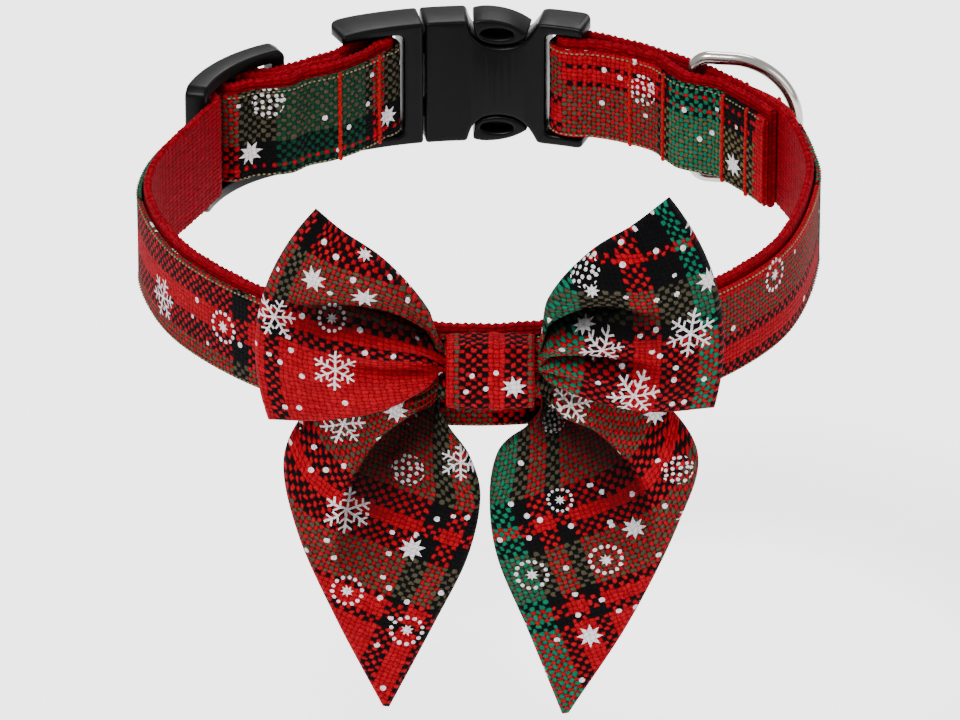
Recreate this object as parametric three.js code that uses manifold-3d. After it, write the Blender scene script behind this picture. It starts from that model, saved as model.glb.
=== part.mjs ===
// A pet collar with a fabric sailor bow, in millimetres, +Z up, the bow facing -Y.
// The origin is the middle of the neck loop, halfway up the band.
// Angles round the loop start at the back (+Y) and grow towards +X, seen from above.
import * as THREE from "three";
import { mergeVertices } from "three/addons/utils/BufferGeometryUtils.js";
import Module from "manifold-3d";

const wasm = await Module();
wasm.setup();

// Strap: a webbing band with a printed facing sewn on its outer side
const loopRadius = 59.7;
const webbingWidth = 19.4;
const webbingThickness = 1.4;
const facingWidth = 17.2;
const facingThickness = 1;
const facingDrop = 0.5;
const layerGap = 0.3;
const strapStep = 4;
const foldSteps = 8;

// Where the hardware sits round the loop, in degrees
const socketBarAngle = 17.4;
const plugBarAngle = 341.1;
const sliderAngle = 309;
const ringAngle = 43.5;
const flapEndAngle = 66;
const returnEndAngle = 331.5;

// Side release buckle, bent to the loop
const buckleSetIn = 2.2;
const buckleHeight = 24;
const buckleThickness = 7.4;
const buckleEdge = 0.9;
const barDiameter = 2.4;
const barClearance = 0.3;
const socketBarSetIn = 1;
const plugBarSetIn = 1.5;
const railThickness = 2;
const crosswallLength = 2.1;
const sleeveLength = 8;
const notchLength = 13.5;
const notchPastWall = 0.6;
const waistHeight = 13.4;
const socketWall = 1.6;
const railOverhang = 1.6;
const plugRailLength = 14.2;
const prongHeight = 2.4;
const seamGap = 0.4;
const runningClearance = 0.4;
const bendStep = 4;
const rodSides = 8;
const eyeSides = 12;

// Slider: three bars between two arched rails
const sliderLength = 24.4;
const sliderHeight = 25;
const sliderThickness = 4;
const sliderArchRadius = 26;
const sliderSetIn = 0.1;
const sliderBarDiameter = 2;
const sliderEdge = 0.7;
const endBarWidth = 2.6;
const sliderCornerLength = 1.6;
const sliderCornerDrop = 1.2;

// Leash ring, swung forward from its pocket in the strap
const ringWire = 2.35;
const ringHeight = 23.4;
const ringDepth = 18.7;
const ringCornerRadius = 3;
const ringLean = 54.5;
const ringWireSides = 8;
const ringSteps = 44;

// Sailor bow
const bowOffset = 2;
const bowRise = 4;
const knotWidth = 14.9;
const knotHeight = 12.5;
const knotDepth = 8.2;
const knotWall = 1.2;
const knotCorner = 2.6;
const knotCornerSteps = 3;
const wingReach = 39.4;
const wingHeight = 34.1;
const wingPuff = 3.2;
const wingLift = 4;
const wingFold = 2.2;
const tailReach = 34.9;
const tailDrop = 66.9;
const tailPuff = 2;
const tailLift = -2.3;
const tailFold = 1.4;
const clothWall = 1.1;
const clothColumns = 10;
const clothRowsPerLength = 13;
const clothFullness = 0.6;
const hemSpacing = 0.2;
const wingHollowShare = 0.95;
const tailHollowShare = 0.9;
const mostInset = 0.4;
const rootSpacing = 0.3;
const rootShare = 0.6;

const half = 0.5;
const radians = THREE.MathUtils.degToRad;
const weldDistance = 1e-4;

// A place seen from a piece that sits at an angle: ahead along its tangent, and out from the centre.
function besideLoop(angle, ahead, outward) {
  const turn = radians(angle);
  const out = new THREE.Vector2(Math.sin(turn), Math.cos(turn));
  return new THREE.Vector2(out.y * ahead, -out.x * ahead).addScaledVector(out, outward);
}

// Solids
function toSolid(geometry) {
  const bare = geometry.clone();
  bare.deleteAttribute("normal");
  bare.deleteAttribute("uv");
  const merged = mergeVertices(bare, weldDistance);
  const mesh = new wasm.Mesh({
    numProp: 3,
    vertProperties: new Float32Array(merged.attributes.position.array),
    triVerts: new Uint32Array(merged.index.array),
  });
  return new wasm.Manifold(mesh);
}

function fromSolid(solid) {
  const mesh = solid.getMesh();
  const geometry = new THREE.BufferGeometry();
  geometry.setAttribute("position", new THREE.BufferAttribute(mesh.vertProperties, 3));
  geometry.setIndex(new THREE.BufferAttribute(mesh.triVerts, 1));
  return geometry;
}

const pathShape = (points) => new THREE.Shape(points.map(([x, y]) => new THREE.Vector2(x, y)));

// A plate whose outline stands in the X-Z plane, with its edges rounded, centred on Y = 0.
function plate(shape, thickness, edge) {
  const geometry = new THREE.ExtrudeGeometry(shape, {
    depth: thickness - 2 * edge,
    bevelThickness: edge,
    bevelSize: edge,
    bevelOffset: -edge,
    bevelSegments: 1,
  });
  geometry.translate(0, 0, edge - thickness * half);
  return toSolid(geometry.rotateX(Math.PI * half));
}

const block = (width, depth, height, x = 0, y = 0, z = 0) =>
  toSolid(new THREE.BoxGeometry(width, depth, height).translate(x, y, z));

function uprightBar(diameter, length, x, y) {
  const rod = new THREE.CylinderGeometry(diameter * half, diameter * half, length, rodSides);
  return toSolid(rod.rotateX(Math.PI * half).translate(x, y, 0));
}

// Cuts every triangle where it crosses the plane x = cut.
function splitAt(triangles, cut) {
  const pieces = [];
  const crossing = (a, b) => {
    const [low, high] = a.x < b.x ? [a, b] : [b, a];
    return low.clone().lerp(high, (cut - low.x) / (high.x - low.x)).setX(cut);
  };
  for (const corners of triangles) {
    for (const side of [-1, 1]) {
      const kept = [];
      corners.forEach((corner, index) => {
        const next = corners[(index + 1) % corners.length];
        const here = (corner.x - cut) * side;
        if (here >= 0) kept.push(corner);
        if (here * (next.x - cut) * side < 0) kept.push(crossing(corner, next));
      });
      const inPlane = kept.every((corner) => corner.x === cut);
      for (let index = 2; index < kept.length && !inPlane; index += 1) {
        pieces.push([kept[0], kept[index - 1], kept[index]]);
      }
    }
  }
  return pieces;
}

// Bends a straight solid round an upright axis: X becomes length along the arc, Y height above it.
function bend(solid, radius) {
  const geometry = fromSolid(solid).toNonIndexed();
  const place = geometry.attributes.position;
  let triangles = [];
  for (let index = 0; index < place.count; index += 3) {
    triangles.push([0, 1, 2].map((k) => new THREE.Vector3().fromBufferAttribute(place, index + k)));
  }
  geometry.computeBoundingBox();
  const { min, max } = geometry.boundingBox;
  for (let cut = Math.ceil(min.x / bendStep) * bendStep; cut < max.x; cut += bendStep) {
    triangles = splitAt(triangles, cut);
  }
  const values = triangles.flat().flatMap((corner) => {
    const angle = corner.x / radius;
    const reach = radius + corner.y;
    return [reach * Math.sin(angle), reach * Math.cos(angle), corner.z];
  });
  const bent = new THREE.BufferGeometry();
  bent.setAttribute("position", new THREE.Float32BufferAttribute(values, 3));
  return mergeVertices(bent, weldDistance);
}

const group = new THREE.Group();
const finishes = {
  webbing: { color: 0xb3121c, roughness: 0.9, metalness: 0 },
  plaid: { color: 0x8f1a1e, roughness: 0.95, metalness: 0 },
  greenPlaid: { color: 0x1f6b48, roughness: 0.95, metalness: 0 },
  nylon: { color: 0x19191a, roughness: 0.45, metalness: 0 },
  nickel: { color: 0xc9c9c6, roughness: 0.2, metalness: 1 },
};

function addPiece(name, geometry, finish) {
  const mesh = new THREE.Mesh(geometry, new THREE.MeshStandardMaterial(finish));
  mesh.name = name;
  group.add(mesh);
  return mesh;
}

// The strap's route, seen from above, along the middle of the webbing
const halfWebbing = webbingThickness * half;
const facedSide = halfWebbing + layerGap + facingThickness;
const ply = webbingThickness + layerGap;
const bandRadius = loopRadius - facedSide;
const buckleRadius = loopRadius - buckleSetIn;
const socketBarRadius = buckleRadius - socketBarSetIn;
const plugBarRadius = buckleRadius - plugBarSetIn;
const buckleFold = barDiameter * half + barClearance + halfWebbing;

const sliderOuterRadius = loopRadius - sliderSetIn;
const sliderBarRadius = sliderOuterRadius - sliderThickness + sliderBarDiameter * half;
const sliderFold = sliderBarDiameter * half + barClearance + halfWebbing;
const sliderArchOuter = sliderArchRadius + sliderThickness * half;
const endBarAhead = (sliderLength - endBarWidth) * half;
const endBarDrop = sliderArchOuter - Math.sqrt(sliderArchOuter ** 2 - endBarAhead ** 2);
const endBarRadius = sliderOuterRadius - endBarDrop - endBarWidth * half;
const underEndBar = endBarRadius - endBarWidth * half - barClearance - facedSide;
const overSliderFold = sliderBarRadius + sliderFold + ply;

const ringBarRadius = bandRadius - halfWebbing - barClearance - ringWire * half;
const underRing = ringBarRadius - ringWire * half - barClearance - halfWebbing;

// Inside flap, from its free end to the socket; drop is in plies below the band.
const flapRows = [
  { angle: flapEndAngle, drop: 0.47 },
  { angle: flapEndAngle - 5, drop: 0.66 },
  { angle: flapEndAngle - 9, drop: 0.86 },
  { angle: ringAngle + 6.5, drop: 1.12 },
  { angle: ringAngle, drop: (bandRadius - underRing) / ply },
  { angle: ringAngle - 7.5, drop: 1.24 },
  { angle: socketBarAngle + 10.6, drop: 1.12 },
  { angle: socketBarAngle + 4.6, drop: 1.4 },
];
// The band from the socket round the front to the slider; swell is in plies outside the circle.
const bandRows = [
  { angle: socketBarAngle + 4.6, swell: 0.34 },
  { angle: socketBarAngle + 10.6, swell: 0.1 },
  { angle: ringAngle - 7.5, swell: 0 },
  { angle: ringAngle, swell: 0 },
  { angle: ringAngle + 6.5, swell: 0.05 },
  { angle: flapEndAngle - 9, swell: 0.3 },
  { angle: flapEndAngle - 2, swell: 0.58 },
  { angle: flapEndAngle + 6, swell: 0.42 },
  { angle: flapEndAngle + 15, swell: 0.12 },
  { angle: 90, swell: 0 },
  { angle: 120, swell: 0 },
  { angle: 150, swell: 0 },
  { angle: 180, swell: 0 },
  { angle: 210, swell: 0 },
  { angle: 240, swell: 0 },
  { angle: 262, swell: 0 },
  { angle: 270, swell: -0.4 },
  { angle: 277, swell: -1.06 },
  { angle: 284, swell: -1.85 },
  { angle: 291, swell: -2.42 },
];
// Over the slider's middle bar; ahead is a share of the way to an end bar, climb of the rise.
const crossingRows = [
  { ahead: -1, climb: 0 },
  { ahead: -0.7, climb: 0.11 },
  { ahead: -0.49, climb: 0.55 },
  { ahead: -0.28, climb: 0.97 },
  { ahead: 0, climb: 1.06 },
  { ahead: 0.3, climb: 0.92 },
  { ahead: 0.52, climb: 0.58 },
  { ahead: 0.74, climb: 0.14 },
  { ahead: 1, climb: 0 },
];
// Between slider and plug: the outer pass and the one on its way back, in plies outside the place
// where the webbing passes under the slider's end bar; before is in degrees short of the plug.
const stackRows = [
  { before: 14.1, band: 0.46, back: -1.66 },
  { before: 8.1, band: 0.98, back: -1.3 },
  { before: 3.6, band: 2.8, back: -0.4 },
];
// Back from the plug under the band to the slider's middle bar, as crossingRows.
const returnRows = [
  { ahead: 1, climb: -0.41 },
  { ahead: 0.69, climb: -0.37 },
  { ahead: 0.44, climb: -0.12 },
  { ahead: 0.2, climb: 0.17 },
];
// The short end, sewn between the two, as crossingRows.
const shortEndRows = [
  { ahead: 0.2, climb: 0.69 },
  { ahead: 0.45, climb: 0.31 },
  { ahead: 0.7, climb: -0.09 },
  { ahead: 1, climb: -0.19 },
];
// Its last stretch, between the band and the return; drop is in plies below the end bar's underside.
const shortStackRows = [
  { angle: plugBarAngle - stackRows[0].before, drop: 0.6 },
  { angle: returnEndAngle, drop: 0.35 },
];

const roundLoop = (angle, radius) => besideLoop(angle, 0, radius);
const climbRange = overSliderFold - underEndBar;
const acrossSlider = ({ ahead, climb }) =>
  besideLoop(sliderAngle, ahead * endBarAhead, underEndBar + climb * climbRange);

// Half a turn of cloth round a bar, starting on its outer side or on its inner side.
function halfTurn(angle, barRadius, foldRadius, ahead, startOutside) {
  const points = [];
  for (let step = 0; step <= foldSteps; step += 1) {
    const turn = Math.PI * (step / foldSteps);
    const side = startOutside ? 1 : -1;
    const out = barRadius + side * foldRadius * Math.cos(turn);
    points.push(besideLoop(angle, ahead * foldRadius * Math.sin(turn), out));
  }
  return points;
}

const sliderTurn = halfTurn(sliderAngle, sliderBarRadius, sliderFold, -1, false);
const apex = foldSteps * half;
const routeToApex = [
  ...flapRows.map((row) => roundLoop(row.angle, bandRadius - row.drop * ply)),
  ...halfTurn(socketBarAngle, socketBarRadius, buckleFold, -1, false),
  ...bandRows.map((row) => roundLoop(row.angle, bandRadius + row.swell * ply)),
  ...crossingRows.map(acrossSlider),
  ...stackRows.map((row) => roundLoop(plugBarAngle - row.before, underEndBar + row.band * ply)),
  ...halfTurn(plugBarAngle, plugBarRadius, buckleFold, 1, true),
  ...stackRows.map((row) => roundLoop(plugBarAngle - row.before, underEndBar + row.back * ply))
    .reverse(),
  ...returnRows.map(acrossSlider),
  ...sliderTurn.slice(0, apex + 1),
];
const routeFromApex = [
  ...sliderTurn.slice(apex + 1),
  ...shortEndRows.map(acrossSlider),
  ...shortStackRows.map((row) => roundLoop(row.angle, underEndBar - row.drop * ply)),
];

// A smooth line through the points, with shorter steps where they lie closer together.
function smooth(points) {
  const curve = new THREE.CatmullRomCurve3(
    points.map((point) => new THREE.Vector3(point.x, point.y, 0)), false, "centripetal");
  const line = [];
  points.slice(1).forEach((point, index) => {
    const steps = Math.max(1, Math.round(point.distanceTo(points[index]) / strapStep));
    for (let step = 0; step < steps; step += 1) {
      line.push(curve.getPoint((index + step / steps) / (points.length - 1)));
    }
  });
  line.push(curve.getPoint(1));
  return line;
}

// A ribbon on edge along a line, from one distance to another on the line's left side.
function ribbon(line, width, from, to, lift = () => 0) {
  const sides = line.map((point, index) => {
    const before = line[Math.max(index - 1, 0)];
    const after = line[Math.min(index + 1, line.length - 1)];
    const out = new THREE.Vector2(before.y - after.y, after.x - before.x).normalize();
    const extra = lift(point);
    return [from + extra, to + extra].map((away) =>
      new THREE.Vector2(point.x + out.x * away, point.y + out.y * away));
  });
  const near = sides.map(([first]) => first);
  const far = sides.map(([, second]) => second);
  const geometry = new THREE.ExtrudeGeometry(new THREE.Shape([...near, ...far.reverse()]), {
    depth: width,
    bevelEnabled: false,
  });
  return geometry.translate(0, 0, -width * half);
}

// Beside the leash ring the facing stands off the webbing; lift in layer gaps.
const facingSwell = { angle: 60, spread: 8, lift: 4 };
const wholeLine = smooth([...routeToApex, ...routeFromApex]);
const facingLine = smooth(routeToApex);
const onOuterPass = (point) => point.length() > bandRadius - halfWebbing;
const swellAt = (point) => {
  const angle = THREE.MathUtils.radToDeg(Math.atan2(point.x, point.y));
  const away = (angle - facingSwell.angle) / facingSwell.spread;
  return onOuterPass(point) ? facingSwell.lift * layerGap * Math.exp(-away * away) : 0;
};

addPiece("webbing_strap",
  ribbon(wholeLine, webbingWidth, -halfWebbing, halfWebbing), finishes.webbing);
addPiece("plaid_facing",
  ribbon(facingLine, facingWidth, halfWebbing + layerGap, facedSide, swellAt)
    .translate(0, 0, -facingDrop), finishes.plaid);

// Buckle, drawn straight: X along the arc, Y outward
const alongBuckle = (angle) => radians(angle > 180 ? angle - 360 : angle) * buckleRadius;
const halfBuckle = buckleHeight * half;
const innerRail = halfBuckle - railThickness;
const socketBarAt = alongBuckle(socketBarAngle);
const plugBarAt = alongBuckle(plugBarAngle);
const foldReach = buckleFold + facedSide + runningClearance;
const crosswallAt = socketBarAt - foldReach;
const frameEnd = socketBarAt + barDiameter * half + railOverhang;
const notchEnd = crosswallAt - crosswallLength + notchPastWall;
const notchStart = notchEnd - notchLength;
const sleeveStart = notchStart - sleeveLength;
const waist = waistHeight * half;
const notchDepth = halfBuckle - waist;

// The notch's edge: across is a share of its length, deep of its depth.
const notchRows = [
  { across: 0, deep: 0 },
  { across: 0.03, deep: 0.28 },
  { across: 0.11, deep: 0.66 },
  { across: 0.26, deep: 0.93 },
  { across: 0.44, deep: 1 },
  { across: 0.65, deep: 0.93 },
  { across: 0.81, deep: 0.7 },
  { across: 0.92, deep: 0.36 },
  { across: 1, deep: 0 },
];
const notchPoint = ({ across, deep }) =>
  [notchStart + across * notchLength, halfBuckle - deep * notchDepth];
const mirrored = (upper) => [...upper, ...upper.map(([x, z]) => [x, -z]).reverse()];

const socketOutline = mirrored([
  [sleeveStart, halfBuckle],
  ...notchRows.map(notchPoint),
  [frameEnd - railThickness, halfBuckle],
  [frameEnd, halfBuckle - railThickness],
]);
const cavityEnd = crosswallAt - crosswallLength;
const cavityHeight = buckleHeight - 2 * socketWall;
const cavityDepth = buckleThickness - 2 * socketWall;
const endSlotLength = frameEnd - crosswallAt + buckleThickness;
const socket = plate(pathShape(socketOutline), buckleThickness, buckleEdge)
  .subtract(block(cavityEnd - sleeveStart + buckleThickness, cavityDepth, cavityHeight,
    (cavityEnd + sleeveStart - buckleThickness) * half))
  .subtract(block(endSlotLength, buckleThickness * 2, innerRail * 2,
    crosswallAt + endSlotLength * half))
  .add(uprightBar(barDiameter, innerRail * 2 + railThickness, socketBarAt,
    socketBarRadius - buckleRadius));
addPiece("buckle_socket", bend(socket, buckleRadius), finishes.nylon);

const plugEnd = sleeveStart - seamGap;
const plugStart = plugEnd - plugRailLength - crosswallLength;
const plugWallAt = plugBarAt + foldReach;
// The frame's far corner, in rail thicknesses.
const cornerRows = [
  { ahead: 0, down: 1 },
  { ahead: 0.5, down: 0.3 },
  { ahead: 1.5, down: 0 },
];
const plugFrame = plate(pathShape(mirrored([
  ...cornerRows.map(({ ahead, down }) =>
    [plugStart + ahead * railThickness, halfBuckle - down * railThickness]),
  [plugEnd, halfBuckle],
])), buckleThickness, buckleEdge);
const frameSlotLength = plugWallAt - plugStart + buckleThickness;

// A prong's head fills the notch; its inner side follows the notch, its outer side is arched.
const headRows = [
  { across: 0.05, height: 1 },
  { across: 0.25, height: 1.01 },
  { across: 0.45, height: 0.98 },
  { across: 0.63, height: 0.88 },
  { across: 0.79, height: 0.7 },
];
const headEdge = notchRows.filter(({ across }) =>
  across > headRows[0].across && across < headRows.at(-1).across).reverse();
const headStart = notchStart + runningClearance;
const headOutline = [
  ...headRows.map(({ across, height }) =>
    [headStart + across * notchLength, waist + notchDepth * height]),
  ...headEdge.map(notchPoint).map(([x, z]) => [x, z + runningClearance]),
];
const headThickness = buckleThickness - 2 * runningClearance;
const prongThickness = cavityDepth - 2 * runningClearance;
// An oval eye in each head, in shares of the notch's length and depth.
const eye = { across: 0.4, halfLength: 0.22, deep: 0.5, halfHeight: 0.19 };
const eyeOutline = Array.from({ length: eyeSides }, (_, index) => {
  const turn = (2 * Math.PI * index) / eyeSides;
  return [notchStart + notchLength * (eye.across + eye.halfLength * Math.cos(turn)),
    waist + notchDepth * (eye.deep + eye.halfHeight * Math.sin(turn))];
});
const onSide = (outline, side) => pathShape(outline.map(([x, z]) => [x, z * side]));
const prongLength = notchStart + notchLength * eye.across - plugEnd + crosswallLength;
const prong = (side) => plate(onSide(headOutline, side), headThickness, runningClearance)
  .subtract(plate(onSide(eyeOutline, side), buckleThickness, 0))
  .add(block(prongLength, prongThickness, prongHeight,
    plugEnd - crosswallLength + prongLength * half, 0,
    (waist + runningClearance * 2 - prongHeight * half) * side));
const plug = plugFrame
  .subtract(block(frameSlotLength, buckleThickness * 2, innerRail * 2,
    plugWallAt - frameSlotLength * half))
  .add(uprightBar(barDiameter, innerRail * 2 + railThickness, plugBarAt,
    plugBarRadius - buckleRadius))
  .add(prong(1))
  .add(prong(-1));
addPiece("buckle_plug", bend(plug, buckleRadius), finishes.nylon);

// Slider, drawn straight and then arched
const halfSlider = sliderLength * half;
const railTop = sliderHeight * half;
const sliderSlot = webbingWidth + 2 * barClearance;
const sliderRail = (side) => plate(onSide([
  [-halfSlider, sliderSlot * half],
  [-halfSlider, railTop - sliderCornerDrop],
  [-halfSlider + sliderCornerLength, railTop],
  [halfSlider - sliderCornerLength, railTop],
  [halfSlider, railTop - sliderCornerDrop],
  [halfSlider, sliderSlot * half],
], side), sliderThickness, sliderEdge);
const endBarAt = Math.asin(endBarAhead / sliderArchOuter) * sliderArchRadius;
const barOut = (sliderThickness - endBarWidth) * half;
const slider = [-endBarAt, endBarAt].reduce(
  (solid, at) => solid.add(uprightBar(endBarWidth, sliderSlot + railThickness, at, barOut)),
  sliderRail(1).add(sliderRail(-1))
    .add(uprightBar(sliderBarDiameter, sliderSlot + railThickness, 0,
      (sliderBarDiameter - sliderThickness) * half)));
const sliderMesh = addPiece("slider", bend(slider, sliderArchRadius), finishes.nylon);
const archCentre = besideLoop(sliderAngle, 0, sliderOuterRadius - sliderArchOuter);
sliderMesh.position.set(archCentre.x, archCentre.y, 0);
sliderMesh.rotation.z = -radians(sliderAngle);

// Leash ring: a straight bar in the strap's pocket, two short arms and a round end
const ringHalf = ringHeight * half;
const ringStraight = ringDepth - ringHalf;
const ringLowCorner = ringHalf - ringCornerRadius;
const ringPath = new THREE.Path();
ringPath.moveTo(ringCornerRadius, -ringHalf);
ringPath.lineTo(ringStraight, -ringHalf);
ringPath.absarc(ringStraight, 0, ringHalf, -Math.PI * half, Math.PI * half, false);
ringPath.lineTo(ringCornerRadius, ringHalf);
ringPath.absarc(ringCornerRadius, ringLowCorner, ringCornerRadius, Math.PI * half, Math.PI, false);
ringPath.lineTo(0, -ringLowCorner);
ringPath.absarc(ringCornerRadius, -ringLowCorner, ringCornerRadius, Math.PI, Math.PI * 1.5, false);
const ringCurve = new THREE.CatmullRomCurve3(
  ringPath.getSpacedPoints(ringSteps).slice(0, -1).map((p) => new THREE.Vector3(p.x, 0, p.y)), true);
const ringMesh = addPiece("leash_ring",
  new THREE.TubeGeometry(ringCurve, ringSteps, ringWire * half, ringWireSides, true), finishes.nickel);
const ringPlace = besideLoop(ringAngle, 0, ringBarRadius);
ringMesh.position.set(ringPlace.x, ringPlace.y, 0);
ringMesh.rotation.z = Math.PI * half - radians(ringAngle + ringLean);

// Bow
const knotY = -(loopRadius + layerGap + knotDepth * half);
const rootHeight = (knotHeight - 2 * knotWall - 3 * rootSpacing) * half;
const rootHalfDepth = knotDepth * half - knotWall - rootSpacing;
const edgeHalf = clothWall + hemSpacing * half;

// Across a lobe's outline: up is the outer or upper edge, low the other, both in shares of the
// lobe's reach and height. Along runs from the knot to the free edge. Bow is how far the section
// arches outward, puff and lift how full it is and how far it stands off the band.
const leftWing = [
  { along: 0.25, upX: 0.261, upZ: 0.381, lowX: 0.266, lowZ: -0.053, bow: 0.02, puff: 0.8, lift: 0.55 },
  { along: 0.45, upX: 0.431, upZ: 0.66, lowX: 0.457, lowZ: -0.152, bow: 0.051, puff: 1, lift: 1 },
  { along: 0.7, upX: 0.619, upZ: 0.839, lowX: 0.708, lowZ: -0.22, bow: 0.089, puff: 0.88, lift: 0.8 },
  { along: 1, upX: 0.736, upZ: 0.935, lowX: 0.949, lowZ: -0.258, bow: 0.142, puff: 0.2, lift: 0.16 },
];
const rightWing = [
  { along: 0.25, upX: 0.241, upZ: 0.425, lowX: 0.254, lowZ: -0.026, bow: 0.02, puff: 0.8, lift: 0.55 },
  { along: 0.45, upX: 0.406, upZ: 0.704, lowX: 0.444, lowZ: -0.103, bow: 0.051, puff: 1, lift: 1 },
  { along: 0.7, upX: 0.596, upZ: 0.871, lowX: 0.685, lowZ: -0.173, bow: 0.081, puff: 0.88, lift: 0.8 },
  { along: 1, upX: 0.756, upZ: 1, lowX: 0.959, lowZ: -0.191, bow: 0.119, puff: 0.2, lift: 0.16 },
];
const leftTail = [
  { along: 0.22, upX: 0.358, upZ: -0.054, lowX: 0.241, lowZ: -0.117, puff: 0.3, lift: 0.3 },
  { along: 0.34, upX: 0.602, upZ: -0.06, lowX: 0.189, lowZ: -0.179, puff: 0.6, lift: 0.55 },
  { along: 0.48, upX: 0.86, upZ: -0.117, lowX: 0.092, lowZ: -0.269, puff: 0.9, lift: 0.9 },
  { along: 0.6, upX: 1, upZ: -0.262, lowX: 0.046, lowZ: -0.381, puff: 1, lift: 1 },
  { along: 0.74, upX: 0.94, upZ: -0.478, lowX: 0.109, lowZ: -0.553, puff: 0.85, lift: 0.95 },
  { along: 0.88, upX: 0.751, upZ: -0.735, lowX: 0.281, lowZ: -0.755, puff: 0.45, lift: 0.9 },
  { along: 1, upX: 0.533, upZ: -0.972, lowX: 0.493, lowZ: -0.976, puff: 0.05, lift: 0.9 },
];
const rightTail = [
  { along: 0.22, upX: 0.358, upZ: -0.046, lowX: 0.241, lowZ: -0.117, puff: 0.3, lift: 0.3 },
  { along: 0.34, upX: 0.59, upZ: -0.052, lowX: 0.155, lowZ: -0.185, puff: 0.6, lift: 0.55 },
  { along: 0.48, upX: 0.831, upZ: -0.102, lowX: 0.037, lowZ: -0.248, puff: 0.9, lift: 0.9 },
  { along: 0.6, upX: 1.009, upZ: -0.254, lowX: -0.003, lowZ: -0.374, puff: 1, lift: 1 },
  { along: 0.74, upX: 0.923, upZ: -0.448, lowX: 0.034, lowZ: -0.553, puff: 0.85, lift: 0.95 },
  { along: 0.88, upX: 0.682, upZ: -0.74, lowX: 0.189, lowZ: -0.771, puff: 0.45, lift: 0.9 },
  { along: 1, upX: 0.39, upZ: -0.993, lowX: 0.35, lowZ: -0.996, puff: 0.05, lift: 0.9 },
];
// Folds that fan out from the knot: at the root and at the end, across the lobe from low to up.
const wingFolds = {
  left: [
    { root: 0.85, end: 0.6, width: 0.08, depth: 1, fades: 0.85 },
    { root: 0.4, end: 0.3, width: 0.1, depth: 0.55, fades: 0.7 },
  ],
  right: [
    { root: 0.8, end: 0.52, width: 0.08, depth: 1, fades: 0.75 },
    { root: 0.4, end: 0.3, width: 0.09, depth: 0.8, fades: 0.8 },
  ],
};
const tailFolds = {
  left: [
    { root: 0.4, end: 0.55, width: 0.09, depth: 1, fades: 0.62 },
    { root: 0.75, end: 0.85, width: 0.1, depth: 0.6, fades: 0.5 },
  ],
  right: [
    { root: 0.35, end: 0.5, width: 0.08, depth: 1, fades: 0.6 },
    { root: 0.7, end: 0.8, width: 0.1, depth: 0.7, fades: 0.5 },
  ],
};

// The value of one column at a place along the rows, on a smooth line through them.
function columnAt(rows, name, along) {
  const last = rows.length - 1;
  const next = Math.min(Math.max(rows.findIndex((row) => row.along >= along), 1), last);
  const slope = (index) => {
    const low = Math.max(index - 1, 0);
    const high = Math.min(index + 1, last);
    return (rows[high][name] - rows[low][name]) / (rows[high].along - rows[low].along);
  };
  const from = rows[next - 1];
  const to = rows[next];
  const span = to.along - from.along;
  const t = (along - from.along) / span;
  const rise = 3 * t ** 2 - 2 * t ** 3;
  const leaving = (t ** 3 - 2 * t ** 2 + t) * span * slope(next - 1);
  const arriving = (t ** 3 - t ** 2) * span * slope(next);
  return (1 - rise) * from[name] + rise * to[name] + leaving + arriving;
}

// A hollow double layer of cloth: its free edge is sewn shut, its gathered end is open.
function lobe({ side, rows, folds, reach, height, puff, lift, foldDepth, rootLow, hollowTo }) {
  const rootUp = rootLow + rootHeight;
  const rootPuff = (rootHalfDepth - edgeHalf) / puff;
  const rootRow = (along, x) => ({
    along,
    upX: x / reach,
    upZ: rootUp / height,
    lowX: x / reach,
    lowZ: rootLow / height,
    bow: 0,
    puff: rootPuff,
    lift: 0,
  });
  const table = [
    rootRow(0, rootSpacing),
    rootRow(rows[0].along * rootShare, knotWidth * half + rootSpacing),
    ...rows.map((row) => ({ bow: 0, ...row })),
  ];

  const edges = (along) => {
    const value = (name) => columnAt(table, name, along);
    return {
      low: new THREE.Vector2(value("lowX") * reach, value("lowZ") * height),
      up: new THREE.Vector2(value("upX") * reach, value("upZ") * height),
      bow: value("bow") * reach,
      puff: value("puff") * puff,
      lift: value("lift") * lift,
    };
  };
  const foldAt = (along, across) => folds.reduce((sum, fold) => {
    const centre = fold.root + (fold.end - fold.root) * along;
    const start = THREE.MathUtils.smoothstep(along, table[1].along, table[2].along);
    const fade = Math.max(0, 1 - along / fold.fades);
    const away = (across - centre) / fold.width;
    return sum + foldDepth * fold.depth * start * Math.sqrt(fade) * Math.exp(-away * away);
  }, 0);

  // A point of the front (face -1) or back (face 1) layer, set in from its surface by inset.
  const pointAt = (along, across, face, inset) => {
    const { low, up, bow, puff: fill, lift: forward } = edges(along);
    const chord = up.clone().sub(low);
    const length = chord.length();
    const margin = Math.min(inset / length, mostInset);
    const spot = margin + across * (1 - 2 * margin);
    const crown = 4 * spot * (1 - spot);
    const place = low.clone().addScaledVector(chord, spot)
      .addScaledVector(new THREE.Vector2(chord.y, -chord.x).normalize(), bow * crown);
    const thickness = edgeHalf + fill * crown ** clothFullness - inset;
    const middle = knotY - forward + foldAt(along, spot);
    return [bowOffset + side * place.x, middle + face * thickness, bowRise + place.y];
  };

  const alongSteps = table.slice(1).flatMap((row, index) => {
    const from = table[index].along;
    const steps = index === 0 ? 1 : Math.ceil((row.along - from) * clothRowsPerLength);
    return Array.from({ length: steps }, (_, step) =>
      from + (row.along - from) * ((step + 1) / steps));
  });
  const columns = Array.from({ length: clothColumns + 1 }, (_, index) => index / clothColumns);
  const loopAt = (along, inset) => [
    ...columns.map((across) => pointAt(along, across, -1, inset)),
    ...columns.map((across) => pointAt(along, across, 1, inset)).reverse(),
  ];
  const outer = [0, ...alongSteps].map((along) => loopAt(along, 0));
  const inner = [0, ...alongSteps].filter((along) => along <= hollowTo)
    .map((along) => loopAt(along, clothWall));
  return skin([...inner.reverse(), ...outer]);
}

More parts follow.
